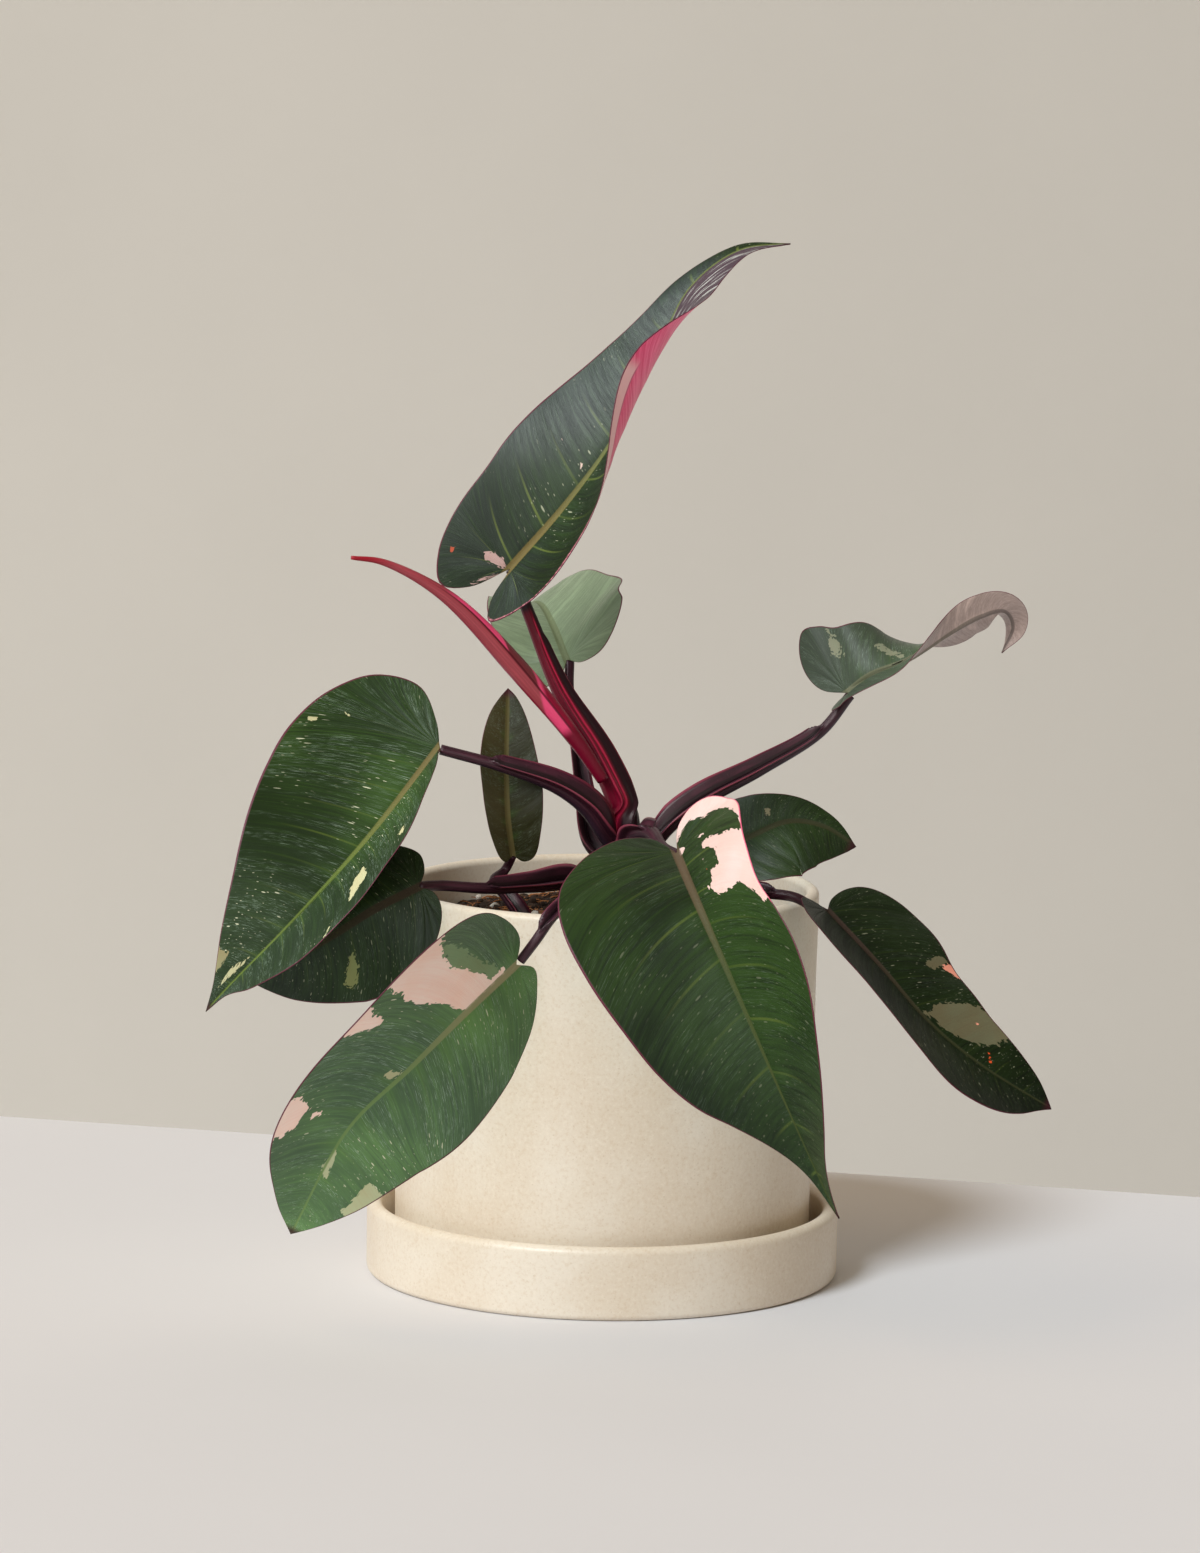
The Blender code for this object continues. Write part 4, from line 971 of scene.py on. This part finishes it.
class StalkFinish(Finish):
    """A stalk's finish with its stored places, the sheath's rise and depth, and streaks along it."""

    def __init__(self, name, roughness=0.36, stretch=(0.02, 3.0)):
        super().__init__(name, roughness)
        self.along, self.turn, self.share = self.split(self.stored("stalk"))
        self.rise, self.depth, _ = self.split(self.stored("wing"))
        self.streak = self.noise(self.wound(*stretch), 2.4, 4, 0.6)

    def wound(self, lengthways, around):
        """Places for a pattern drawn out along the stalk."""
        return self.join(self.times(self.along, lengthways), self.times(self.turn, around))


def stalk_finish(name, base, edge, light, under=None, roughness=0.36):
    """Streaked stalk colouring: pale rims on the sheath, painted shade in the trough and a painted greyish
    sheen on the underside.
    """
    m = StalkFinish(name, roughness, (0.03, 2.6))
    specks = m.noise(m.wound(0.8, 5.0), 2.0, 3)
    colour = m.mix(m.ramp(m.streak, 0.42, 0.66), base, light)
    # Painted sheen: a greyish cast over the underside of the stalk.
    if under:
        colour = m.wash(colour, under, m.size(m.turn), 1.2, 2.2, 0.75)
    colour = m.wash(colour, shade(base, 2.4, 0.03), specks, 0.6, 0.72, 0.35)
    # Painted shade: the trough between the sheath's wings darkened by its depth.
    colour = m.wash(colour, shade(base, 0.35), m.depth, 0.04, 0.22, 0.9)
    colour = m.wash(colour, edge, m.rise, 0.62, 0.9)
    m.bump(m.plus(m.streak, m.times(specks, 0.3)), 0.4, 0.0003)
    return m.look(Base_Color=colour, Specular_IOR_Level=0.35)


def tall_finish(name, bright, dark):
    """The thick petiole: crimson down one side, aubergine down the other, a bright line between that is
    partly a real stripe and partly a painted highlight.
    """
    m = StalkFinish(name)
    side = m.plus(m.turn, m.times(m.minus(m.streak, 0.5), 0.5))
    red = m.mix(m.ramp(m.streak, 0.4, 0.66), shade(bright, 0.45), bright)
    red = m.wash(red, shade(bright, 0.4), side, -0.55, -0.95, 0.7)
    red = m.wash(red, dark, m.share, 0.84, 0.87)
    colour = m.wash(red, dark, side, -0.3, 0.1)
    # The bright line: partly the petiole's own paler stripe, partly a painted highlight where the round stalk
    # catches the light.
    stripe_and_highlight = m.times(m.ramp(m.size(m.plus(side, 0.4)), 0.16, 0.05), m.ramp(m.share, 0.84, 0.8))
    colour = m.mix(stripe_and_highlight, colour, shade(bright, 2.0, 0.02))
    # Painted shade: the trough darkened by its depth.
    colour = m.wash(colour, dark, m.depth, 0.04, 0.3, 0.5)
    colour = m.wash(colour, shade(bright, 1.6, 0.02), m.rise, 0.62, 0.9, 0.7)
    m.bump(m.streak, 0.4, 0.0003)
    return m.look(Base_Color=colour, Specular_IOR_Level=0.3)


def spear_finish(name, bright, dusk, crimson):
    """The rolled leaf: dusky rose, a pink strip and a lozenge of painted shade by its seam, crimson edges and
    foot.
    """
    m = StalkFinish(name)
    seam = m.plus(m.turn, m.ramp(m.along, 30.0, 95.0, 0.75, 0.45))
    zone = m.ramp(seam, 0.0, 0.1)
    cut = m.plus(m.along, m.times(seam, -8.0))
    strip = m.times(zone, m.ramp(cut, 62.0, 64.0), m.ramp(m.along, 100.0, 88.0))
    # Painted shade: a darker lozenge by the seam, where the rolled leaf lies in shade.
    shaded_lozenge = m.times(zone, m.ramp(cut, 44.0, 45.5), m.ramp(cut, 64.0, 62.0), 0.85)
    line = m.times(m.ramp(m.size(seam), 0.16, 0.05), m.ramp(m.along, 110.0, 84.0), 0.85)
    far_side = m.minus(m.size(m.plus(m.turn, 0.68)), 1.42)
    colour = m.wash(dusk, shade(dusk, 1.3), m.streak, 0.42, 0.66)
    colour = m.mix(strip, colour, bright)
    colour = m.mix(shaded_lozenge, colour, shade(dusk, 0.45))
    colour = m.wash(colour, shade(bright, 0.95), cut, 46.0, 43.0)
    colour = m.mix(m.times(m.ramp(cut, 43.0, 38.0), zone), colour, crimson)
    colour = m.mix(line, colour, shade(crimson, 0.2))
    colour = m.wash(colour, crimson, far_side, -0.22, -0.05)
    colour = m.wash(colour, srgb(150, 10, 34), m.share, 0.86, 0.97)
    colour = m.wash(colour, shade(crimson, 0.6), m.along, 27.0, 22.0)
    m.bump(m.streak, 0.4, 0.0003)
    return m.look(Base_Color=colour, Specular_IOR_Level=0.35)


def petiole_end(name, petiole):
    """The point under the leaf's joint where a petiole stops, just short of the blade."""
    line, forward, face, _, _ = leaf_frame(LEAVES[name])
    if "in_sinus" in petiole:
        return line[0] - forward[0] * petiole["in_sinus"]
    onward = unit(line[0] - np.array(petiole["path"][-1]))
    slant = math.sqrt(max(0, 1 - float(onward @ face[0]) ** 2)) * petiole["radius"][-1]
    return line[0] - face[0] * (JOINT_CLEARANCE + slant * 0.6)


def petiole_start(petiole):
    """The point inside the stem's skin from which a petiole sets off."""
    line, _ = smooth_line(STEM_AXIS, 200)
    middle = np.array([np.interp(petiole["height"], line[:, 2], line[:, k]) for k in range(3)])
    angle = math.radians(petiole["angle"])
    return middle + np.array([math.cos(angle), math.sin(angle), 0]) * (STEM_RADIUS - PETIOLE_SINK)


def arc(x, z, radius, first, last, steps=8):
    """Points of an arc round (x, z), from one angle to another, in degrees."""
    angles = np.radians(np.linspace(first, last, steps + 1))
    return [(x + radius * math.cos(a), z + radius * math.sin(a)) for a in angles]


def spun_mesh(name, points, sides, open_ends, corner):
    """A closed form round the Z axis, from a ring at each (x, z); corner(x, z, angle) places its corners.

    A ring on the axis is one corner. Without open ends, the last ring joins the first one.
    """
    shape = bmesh.new()
    rings = []
    for x, z in points:
        angles = [2 * math.pi * k / sides for k in range(sides if x else 1)]
        ring = [shape.verts.new([c * MM for c in corner(x, z, angle)]) for angle in angles]
        rings.append(ring if x else ring * sides)
    for first, second in zip(rings, rings[1:] + ([] if open_ends else rings[:1])):
        for k in range(sides):
            corners = [first[k], second[k], second[(k + 1) % sides], first[(k + 1) % sides]]
            corners = [c for i, c in enumerate(corners) if c not in corners[:i]]
            if len(corners) > 2:
                shape.faces.new(corners)
    return closed_mesh(shape, bpy.data.meshes.new(name))


def turned_mesh(name, profile, hand=0.0):
    """A turned piece: its profile spun round the Z axis, with a potter's slight unevenness."""
    points = []
    for (x0, z0), (x1, z1) in zip(profile, profile[1:] + profile[:1]):
        pieces = max(1, int(math.hypot(x1 - x0, z1 - z0) / PROFILE_STEP))
        points += [(x0 + (x1 - x0) * k / pieces, z0 + (z1 - z0) * k / pieces) for k in range(pieces)]
    solid = profile[-1][0] == 0
    if solid:
        points = points[:points.index(profile[-1]) + 1]

    def corner(x, z, angle):
        wobble = hand * noise.noise(Vector((math.cos(angle) * 1.5, math.sin(angle) * 1.5, z / 35)))
        radius = x + wobble * min(1, x / 40)
        return radius * math.cos(angle), radius * math.sin(angle), z

    return spun_mesh(name, points, TURNED_SIDES, solid, corner)


def pot_radius(height):
    """Outer radius of the pot's slightly widening wall."""
    rise = (height - POT_FOOT) / (POT_RIM_HEIGHT - POT_FOOT)
    return POT_RADIUS_FOOT + (POT_RADIUS_RIM - POT_RADIUS_FOOT) * rise


def glaze_finish(name, settings):
    """Satin cream glaze with fine tan specks and a slightly pitted skin."""
    m = Finish(name, 0.42)
    place = m.place()
    sand = m.noise(place, 0.7, 4, 0.7)
    colour = m.wash(settings.glaze, settings.glaze_shade, m.noise(place, 0.02, 3), 0.35, 0.65)
    colour = m.wash(colour, settings.specks, sand, 0.5, 0.66, 0.2)
    colour = m.wash(colour, shade(settings.glaze, 1.1), sand, 0.46, 0.36, 0.3)
    small = m.dots(place, 0.8, 0.3, 0.16)
    colour = m.mix(m.times(small, 0.2), colour, shade(settings.specks, 0.8))
    skin = m.noise(place, 0.5, 4, 0.55)
    m.bump(m.minus(skin, m.times(small, 0.6)), 0.15, 0.0004)
    return m.look(Base_Color=colour, Roughness=m.ramp(skin, 0.3, 0.7, 0.36, 0.5))


def soil_height(x, y):
    """Height of the potting mix: a low mound with lumps, level with the fill line at the wall."""
    mound = SOIL_CROWN * max(0.0, 1 - (x * x + y * y) / SOIL_RADIUS ** 2)
    lumps = SOIL_LUMPS * noise.noise(Vector((x / 11, y / 11, 3.0)))
    lumps += 0.4 * SOIL_LUMPS * noise.noise(Vector((x / 4.5, y / 4.5, 8.0)))
    return SOIL_EDGE_HEIGHT + mound + lumps


def soil_mesh():
    """The filled pot's mix as one closed solid with a crumbly top, whose rings have no set height."""
    bottom = POT_INSIDE + GAP
    wall = pot_radius(bottom + 3 * EDGE_ROUND) - POT_WALL - GAP
    profile = [(SOIL_RADIUS * (k / SOIL_RINGS) ** 0.85, None) for k in range(SOIL_RINGS + 1)]
    profile += [(wall, bottom + 3 * EDGE_ROUND), (wall - 2 * EDGE_ROUND, bottom), (0, bottom)]

    def corner(radius, height, angle):
        x, y = radius * math.cos(angle), radius * math.sin(angle)
        if height is None:
            grain = noise.noise(Vector((x / 1.9, y / 1.9, 1.0)))
            grain += 0.5 * noise.noise(Vector((x / 0.9, y / 0.9, 5.0)))
            height = soil_height(x, y) + (SOIL_GRAIN * grain if radius else 0)
        return x, y, height

    return spun_mesh("soil", profile, SOIL_SIDES, True, corner)


def on_soil(draw, inset=3.0):
    """A random place on the soil, clear of the pot's wall and the stem."""
    stem_x, stem_y, _ = STEM_AXIS[0]
    while True:
        x, y = draw.uniform(-STREWN_REACH, STREWN_REACH), draw.uniform(-STREWN_REACH, STREWN_REACH)
        clear = math.hypot(x - stem_x, y - stem_y) > STEM_RADIUS + 1
        if clear and math.hypot(x, y) < SOIL_RADIUS - inset:
            return x, y, soil_height(x, y)


def scattered_mesh(name, count, draw, size, squash, sink=0.3):
    """Crumbs strewn over the soil, each a small uneven lump turned its own way."""
    ball = bmesh.new()
    bmesh.ops.create_icosphere(ball, subdivisions=2, radius=1.0)
    ball.verts.ensure_lookup_table()
    knobs = [corner.co.copy() for corner in ball.verts]
    sides = [[corner.index for corner in face.verts] for face in ball.faces]
    ball.free()
    corners, faces = [], []
    for _ in range(count):
        x, y, z = on_soil(draw)
        big = draw.uniform(*size)
        scale = [big * draw.uniform(*one) for one in squash]
        turn = Matrix.Rotation(draw.uniform(0, 6.28), 3, "Z") @ Matrix.Rotation(draw.gauss(0, 0.35), 3, "X")
        turn = turn @ Matrix.Rotation(draw.gauss(0, 0.35), 3, "Y")
        seed = Vector((draw.uniform(0, 90), 0, 0))
        middle = Vector((x, y, z + scale[2] * sink))
        first = len(corners)
        for knob in knobs:
            dent = 1 + 0.32 * noise.noise(knob * 1.6 + seed)
            local = Vector((knob[k] * scale[k] * dent for k in range(3)))
            corners.append((turn @ local + middle) * MM)
        faces += [[first + k for k in side] for side in sides]
    mesh = bpy.data.meshes.new(name)
    mesh.from_pydata(corners, [], faces)
    mesh.shade_smooth()
    return mesh


def fibres_mesh(name, count, draw):
    """Thin coir fibres lying in loose curls on the soil."""
    shape = bmesh.new()
    for _ in range(count):
        x, y, _ = on_soil(draw, 8.0)
        heading, bend = draw.uniform(0, 6.28), draw.gauss(0, 0.2)
        radius, lift = draw.uniform(0.12, 0.28), draw.uniform(0.4, 1.6)
        steps = draw.randint(7, 16)
        ring_before = None
        for k in range(steps):
            heading += bend + draw.gauss(0, 0.1)
            x, y = x + FIBRE_STEP * math.cos(heading), y + FIBRE_STEP * math.sin(heading)
            if math.hypot(x, y) > SOIL_RADIUS - 2:
                break
            z = soil_height(x, y) + lift * math.sin(math.pi * k / steps) + 0.3
            across = Vector((-math.sin(heading), math.cos(heading), 0))
            thin = radius * (1 if 0 < k < steps - 1 else 0.3)
            ring = [shape.verts.new((Vector((x, y, z)) + across * thin * math.cos(a)
                                     + Vector((0, 0, thin * math.sin(a)))) * MM)
                    for a in np.linspace(0, 2 * math.pi, FIBRE_SIDES, endpoint=False)]
            if ring_before:
                for j in range(FIBRE_SIDES):
                    after = (j + 1) % FIBRE_SIDES
                    shape.faces.new((ring_before[j], ring[j], ring[after], ring_before[after]))
            else:
                shape.faces.new(ring[::-1])
            ring_before = ring
        if ring_before:
            shape.faces.new(ring_before)
    loose = [v for v in shape.verts if not v.link_faces]
    bmesh.ops.delete(shape, geom=loose, context="VERTS")
    return closed_mesh(shape, bpy.data.meshes.new(name))


def earth_finish(name, dark, light, tint, roughness=0.95):
    """Rough earth or bark: two tones in clouds, with specks of a third."""
    m = Finish(name, roughness)
    place = m.place()
    colour = m.wash(dark, light, m.noise(place, 0.22, 5, 0.7), 0.35, 0.65)
    colour = m.wash(colour, tint, m.noise(place, 0.6, 4, 0.6), 0.6, 0.72, 0.8)
    m.bump(m.noise(place, 1.6, 5, 0.7), 0.7, 0.0008)
    return m.look(Base_Color=colour)


def across_room(x, back, z):
    """A point of the line that crosses the room at a slant, back mm behind the plant."""
    return x, back - TABLE_SLANT * x, z


def upright(half, back, low, high):
    """The corners of a face that stands on the slanting line."""
    return [across_room(-half, back, low), across_room(half, back, low),
            across_room(half, back, high), across_room(-half, back, high)]


def level(half, front, back, height):
    """The corners of a flat face from a straight front edge to the slanting line."""
    return [(-half, front, height), (half, front, height),
            across_room(half, back, height), across_room(-half, back, height)]


def stage_mesh(name, *flats):
    """Flat four-cornered faces, given in mm."""
    shape = bmesh.new()
    for corners in flats:
        shape.faces.new([shape.verts.new(Vector(c) * MM) for c in corners])
    mesh = bpy.data.meshes.new(name)
    shape.to_mesh(mesh)
    shape.free()
    return mesh


def plaster_finish(name, colour, roughness, painted_shade):
    """Even plaster, with painted shade: the last argument, if given, is how much it darkens for each mm to
    the right and downwards.
    """
    m = Finish(name, roughness)
    place = m.place()
    tone = m.mix(m.noise(place, 0.004, 3), colour, shade(colour, 0.94))
    if painted_shade:
        # Painted shade: the wall darkened towards the right and downwards, as the light falls off across it.
        x, _, z = m.split(place)
        slope = m.minus(m.times(x, painted_shade[0]), m.times(z, painted_shade[1]))
        tone = m.mix(m.plus(slope, painted_shade[2], clamp=True), tone, (0, 0, 0))
    m.bump(m.noise(place, 0.15, 4), 0.05, 0.0006)
    return m.look(Base_Color=tone)


def build_room(scene, settings):
    """The table top with its apron and the boards below, and the wall far behind."""
    ground = stage_mesh("floor", level(TABLE_EDGE, TABLE_FRONT, TABLE_BACK, 0),
                        upright(TABLE_EDGE, TABLE_BACK, 0, BOARDS_HEIGHT),
                        level(ROOM_EDGE, -ROOM_EDGE, WALL_BACK, BOARDS_HEIGHT))
    behind = stage_mesh("wall", upright(ROOM_EDGE, WALL_BACK, BOARDS_HEIGHT, WALL_HEIGHT))
    for name, mesh, colour, rough, painted_shade in (("floor", ground, settings.floor, 0.7, None),
                                               ("wall", behind, settings.wall, 0.9, WALL_PAINTED_SHADE)):
        piece = bpy.data.objects.new(name, mesh)
        scene.collection.objects.link(piece)
        mesh.materials.append(plaster_finish(name, colour, rough, painted_shade))


def hang_lamps(scene, settings):
    """The lamps, each lighting only its own pieces."""
    for name, (kind, place, setting, share, tint, extras) in LAMPS.items():
        data = bpy.data.lights.new(name, kind)
        data.energy, data.color = share * getattr(settings, setting), tint
        for key, value in extras.items():
            setattr(data, key, value)
        lamp = bpy.data.objects.new(name, data)
        scene.collection.objects.link(lamp)
        lamp.location = place
        lamp.rotation_euler = (Vector(LAMP_AIM) - Vector(place)).to_track_quat("-Z", "Y").to_euler()
    for lamp, role, state, names in LAMP_LINKS:
        group = bpy.data.collections.new(lamp + "_" + role)
        for name in names:
            group.objects.link(bpy.data.objects[name])
        for item in group.collection_objects:
            item.light_linking.link_state = state
        setattr(bpy.data.objects[lamp].light_linking, role + "_collection", group)


def light_surroundings(scene, strength):
    """Even warm light from all round."""
    scene.world = scene.world or bpy.data.worlds.new("studio")
    scene.world.use_nodes = True
    surroundings = scene.world.node_tree.nodes["Background"]
    surroundings.inputs["Color"].default_value = (1, 0.76, 0.52, 1)
    surroundings.inputs["Strength"].default_value = strength


def set_camera(scene):
    """The camera that took the photo, as fitted to the pot's rim and saucer."""
    data = bpy.data.cameras.new("camera")
    data.sensor_fit, data.sensor_height = "VERTICAL", SENSOR
    data.lens = CAMERA_FOCUS_PX / PHOTO_HEIGHT * SENSOR
    data.clip_end = CAMERA_SIGHT
    camera = bpy.data.objects.new("camera", data)
    scene.collection.objects.link(camera)
    forward = Vector((0, math.cos(CAMERA_TILT), -math.sin(CAMERA_TILT)))
    up = Vector((0, math.sin(CAMERA_TILT), math.cos(CAMERA_TILT)))
    aside = Vector((1, 0, 0))
    cos_r, sin_r = math.cos(CAMERA_ROLL), math.sin(CAMERA_ROLL)
    axes = Matrix((aside * cos_r + up * sin_r, -aside * sin_r + up * cos_r, -forward)).transposed()
    camera.matrix_world = Matrix.Translation(Vector(CAMERA_PLACE) * MM) @ axes.to_4x4()
    scene.camera = camera


def colour_setting(name, description, default):
    return FloatVectorProperty(name=name, description=description, default=default, subtype="COLOR",
                               min=0, max=1)


def length_setting(name, description, default, least, most):
    return FloatProperty(name=name, description=description, default=default, unit="LENGTH",
                         min=least, max=most)


def count_setting(name, description, default, most):
    return IntProperty(name=name, description=description, default=default, min=0, max=most)


def light_setting(name, description, default, unit="NONE"):
    return FloatProperty(name=name, description=description, default=default, unit=unit, min=0)


class PotSettings(bpy.types.PropertyGroup):
    glaze: colour_setting("Glaze", "Main colour of the glaze", srgb(233, 223, 207))
    glaze_shade: colour_setting("Glaze shade", "Where the glaze pooled thicker", srgb(225, 211, 191))
    specks: colour_setting("Specks", "Iron specks in the glaze", srgb(196, 164, 122))
    unevenness: length_setting("Unevenness", "How far the wall strays from round", 0.0003, 0, 0.001)


class SoilSettings(bpy.types.PropertyGroup):
    crumbs: count_setting("Crumbs", "Lumps of peat and bark on the soil", 900, 1200)
    fibres: count_setting("Fibres", "Coir fibres on the soil", 260, 600)
    perlite: count_setting("Perlite", "White grains on the soil", 36, 200)
    peat: colour_setting("Peat", "Colour of the dark mix", srgb(62, 42, 28))
    coir: colour_setting("Coir", "Colour of the fibres", srgb(170, 104, 54))


class LeafSettings(bpy.types.PropertyGroup):
    leaf_thickness: length_setting("Thickness", "Thickness of a blade beside its midrib",
                                   0.0006, 0.0002, 0.0012)
    vein_relief: length_setting("Vein relief", "Quilting between the side veins", 0.0003, 0, 0.001)
    dark_green: colour_setting("Dark green", "Deepest leaf colour", DEEP_GREEN)
    light_green: colour_setting("Light green", "Fresher leaf colour", FRESH_GREEN)
    margin_pink: colour_setting("Margin", "The blades' thin coloured edge", srgb(96, 36, 56))


class StalkSettings(bpy.types.PropertyGroup):
    aubergine: colour_setting("Petioles", "Colour of the dark petioles", srgb(46, 20, 32))
    crimson: colour_setting("Tall petiole", "Colour of the thick striped petiole", srgb(146, 6, 52))
    spear: colour_setting("New leaf", "Colour of the rolled new leaf", srgb(240, 78, 128))


class StageSettings(bpy.types.PropertyGroup):
    floor: colour_setting("Floor", "Colour of the floor", srgb(227, 227, 231))
    wall: colour_setting("Wall", "Colour of the wall", srgb(202, 198, 189))
    key_strength: light_setting("Key light", "Strength of the main soft light", 2.9)
    front_strength: light_setting("Front light", "Strength of the light on the plant's front", 0.8)
    sky_power: light_setting("Sky light", "Power of the cool light from above", 14.0, "POWER")
    backdrop_strength: light_setting("Wall light", "Strength of the light on the wall alone", 1.96)
    surroundings: light_setting("Surroundings", "Strength of the light from all round", 0.26)


class PLANT_OT_pot(bpy.types.Operator):
    """Make the turned pot and its saucer"""
    bl_idname = "plant.pot"
    bl_label = "Pot and saucer"

    def execute(self, context):
        settings = context.scene.plant_pot
        glaze = glaze_finish("glaze", settings)
        inner, lip = SAUCER_RADIUS - SAUCER_WALL, SAUCER_WALL / 2
        profile = [(0, SAUCER_FLOOR)]
        profile += arc(inner - EDGE_ROUND, SAUCER_FLOOR + EDGE_ROUND, EDGE_ROUND, -90, 0)
        profile += arc(SAUCER_RADIUS - lip, SAUCER_HEIGHT - lip, lip, 180, 0, 14)
        profile += arc(SAUCER_RADIUS - EDGE_ROUND, EDGE_ROUND, EDGE_ROUND, 0, -90)
        profile += [(0, 0)]
        add("saucer_turned", turned_mesh("saucer", profile), glaze, "ceramic", "saucer")
        inner, lip = pot_radius(POT_INSIDE) - POT_WALL, POT_WALL / 2
        profile = [(DRAIN_RADIUS, POT_INSIDE)]
        profile += arc(inner - EDGE_ROUND, POT_INSIDE + EDGE_ROUND, EDGE_ROUND, -90, 0)
        profile += arc(POT_RADIUS_RIM - lip, POT_RIM_HEIGHT - lip, lip, 180, 0, 14)
        profile += arc(POT_RADIUS_FOOT - EDGE_ROUND, POT_FOOT + EDGE_ROUND, EDGE_ROUND, 0, -90)
        profile += [(DRAIN_RADIUS, POT_FOOT)]
        hand = settings.unevenness * MM_PER_METRE
        add("pot_turned", turned_mesh("pot", profile, hand), glaze, "ceramic", "pot")
        return {"FINISHED"}


class PLANT_OT_soil(bpy.types.Operator):
    """Fill the pot with mix and strew crumbs, fibres and perlite on it"""
    bl_idname = "plant.soil"
    bl_label = "Soil"

    def execute(self, context):
        settings = context.scene.plant_soil
        draw = random.Random(11)
        peat, coir = settings.peat, settings.coir
        dark = shade(peat, 0.35)
        add("soil_mix", soil_mesh(), earth_finish("mix", dark, peat, coir), "soil", "soil")
        crumbs = scattered_mesh("crumbs", settings.crumbs, draw, *CRUMB_SIZES)
        add("soil_crumbs", crumbs, earth_finish("crumbs", dark, peat, coir), "soil")
        chips = scattered_mesh("bark", settings.crumbs // 12, draw, *BARK_SIZES)
        add("bark_chips", chips, earth_finish("bark", peat, srgb(120, 76, 46), coir), "soil")
        fibre = earth_finish("coir", coir, srgb(206, 140, 84), srgb(110, 60, 30), 0.8)
        add("coir_fibres", fibres_mesh("fibres", settings.fibres, draw), fibre, "soil")
        grains = scattered_mesh("perlite", settings.perlite, draw, *PERLITE_SIZES)
        white = earth_finish("perlite", srgb(214, 208, 196), srgb(236, 232, 224), srgb(170, 150, 120))
        add("perlite_grains", grains, white, "soil")
        return {"FINISHED"}


class PLANT_OT_stalks(bpy.types.Operator):
    """Make the stem and the petioles with their sheaths"""
    bl_idname = "plant.stalks"
    bl_label = "Stem and petioles"

    def execute(self, context):
        settings = context.scene.plant_stalks
        crimson = tuple(settings.crimson)
        # Aubergine petioles, their last colour a painted greyish sheen for their undersides.
        aubergine = stalk_finish("aubergine", settings.aubergine, srgb(132, 58, 76), srgb(66, 28, 44),
                                 srgb(40, 34, 48))
        bark = stalk_finish("stem", srgb(52, 36, 32), srgb(120, 70, 60), srgb(84, 40, 48), roughness=0.5)
        striped = tall_finish("crimson", crimson, srgb(38, 12, 24))
        pink = spear_finish("spear", settings.spear, srgb(150, 62, 72), crimson)

        def add_petiole(name, petiole, start, material=aubergine, wing=1.5):
            points = start + petiole["path"] + [petiole_end(name, petiole)]
            section = petiole_section(SHEATH_TIPS[name], wing)
            mesh = stalk_sweep("petiole_" + name, points, petiole["radius"], section)
            add("stalk_" + name, mesh, material, "petiole", "petiole_" + name)

        stem = stalk_sweep("stem", STEM_AXIS, [STEM_RADIUS], stem_section, 40, 0.8)
        add("stem_ringed", stem, bark, "stem", "stem")
        for name, petiole in PETIOLES.items():
            add_petiole(name, petiole, [petiole_start(petiole)])
        add_petiole("tall", TALL_PETIOLE, [TALL_FOOT], striped, 0.35)
        add_petiole("small", SPROUT_PETIOLE, [])
        mesh = stalk_sweep("new_leaf", NEW_LEAF["path"], NEW_LEAF["radius"], spear_section)
        add("spear_rolled", mesh, pink, "new_leaf", "new_leaf")
        return {"FINISHED"}


class PLANT_OT_leaves(bpy.types.Operator):
    """Make the ten open leaves, each with its own colouring"""
    bl_idname = "plant.leaves"
    bl_label = "Leaves"

    def execute(self, context):
        settings = context.scene.plant_leaves
        for name in LEAVES:
            mesh, material = leaf_mesh(name, settings), leaf_finish(name, settings)
            add("blade_" + name, mesh, material, "leaf", "leaf_" + name)
        return {"FINISHED"}


class PLANT_OT_studio(bpy.types.Operator):
    """Set up the floor, wall, lights and camera"""
    bl_idname = "plant.studio"
    bl_label = "Studio"

    def execute(self, context):
        scene, settings = context.scene, context.scene.plant_stage
        build_room(scene, settings)
        hang_lamps(scene, settings)
        light_surroundings(scene, settings.surroundings)
        set_camera(scene)
        scene.view_settings.view_transform = "Standard"
        return {"FINISHED"}


class PLANT_PT_parts(bpy.types.Panel):
    """The plant's parts, in the order they are made"""
    bl_label = "Philodendron"
    bl_space_type = "VIEW_3D"
    bl_region_type = "UI"
    bl_category = "Plant"

    def draw(self, context):
        scene = context.scene
        for step, operator in STEPS:
            box = self.layout.box()
            settings = getattr(scene, step)
            for key in settings.__annotations__:
                box.prop(settings, key)
            box.operator(operator)


SETTINGS = {"plant_pot": PotSettings, "plant_soil": SoilSettings, "plant_stalks": StalkSettings,
            "plant_leaves": LeafSettings, "plant_stage": StageSettings}
STEPS = [("plant_pot", "plant.pot"), ("plant_soil", "plant.soil"), ("plant_stalks", "plant.stalks"),
         ("plant_leaves", "plant.leaves"), ("plant_stage", "plant.studio")]
CLASSES = [*SETTINGS.values(), PLANT_OT_pot, PLANT_OT_soil, PLANT_OT_stalks, PLANT_OT_leaves,
           PLANT_OT_studio, PLANT_PT_parts]


def register():
    for made in CLASSES:
        bpy.utils.register_class(made)
    for name, group in SETTINGS.items():
        setattr(bpy.types.Scene, name, PointerProperty(type=group))


def unregister():
    for name in SETTINGS:
        delattr(bpy.types.Scene, name)
    for made in reversed(CLASSES):
        bpy.utils.unregister_class(made)


def main():
    register()
    bpy.ops.plant.pot()
    bpy.ops.plant.soil()
    bpy.ops.plant.stalks()
    bpy.ops.plant.leaves()
    bpy.ops.plant.studio()


if __name__ == "__main__":
    main()
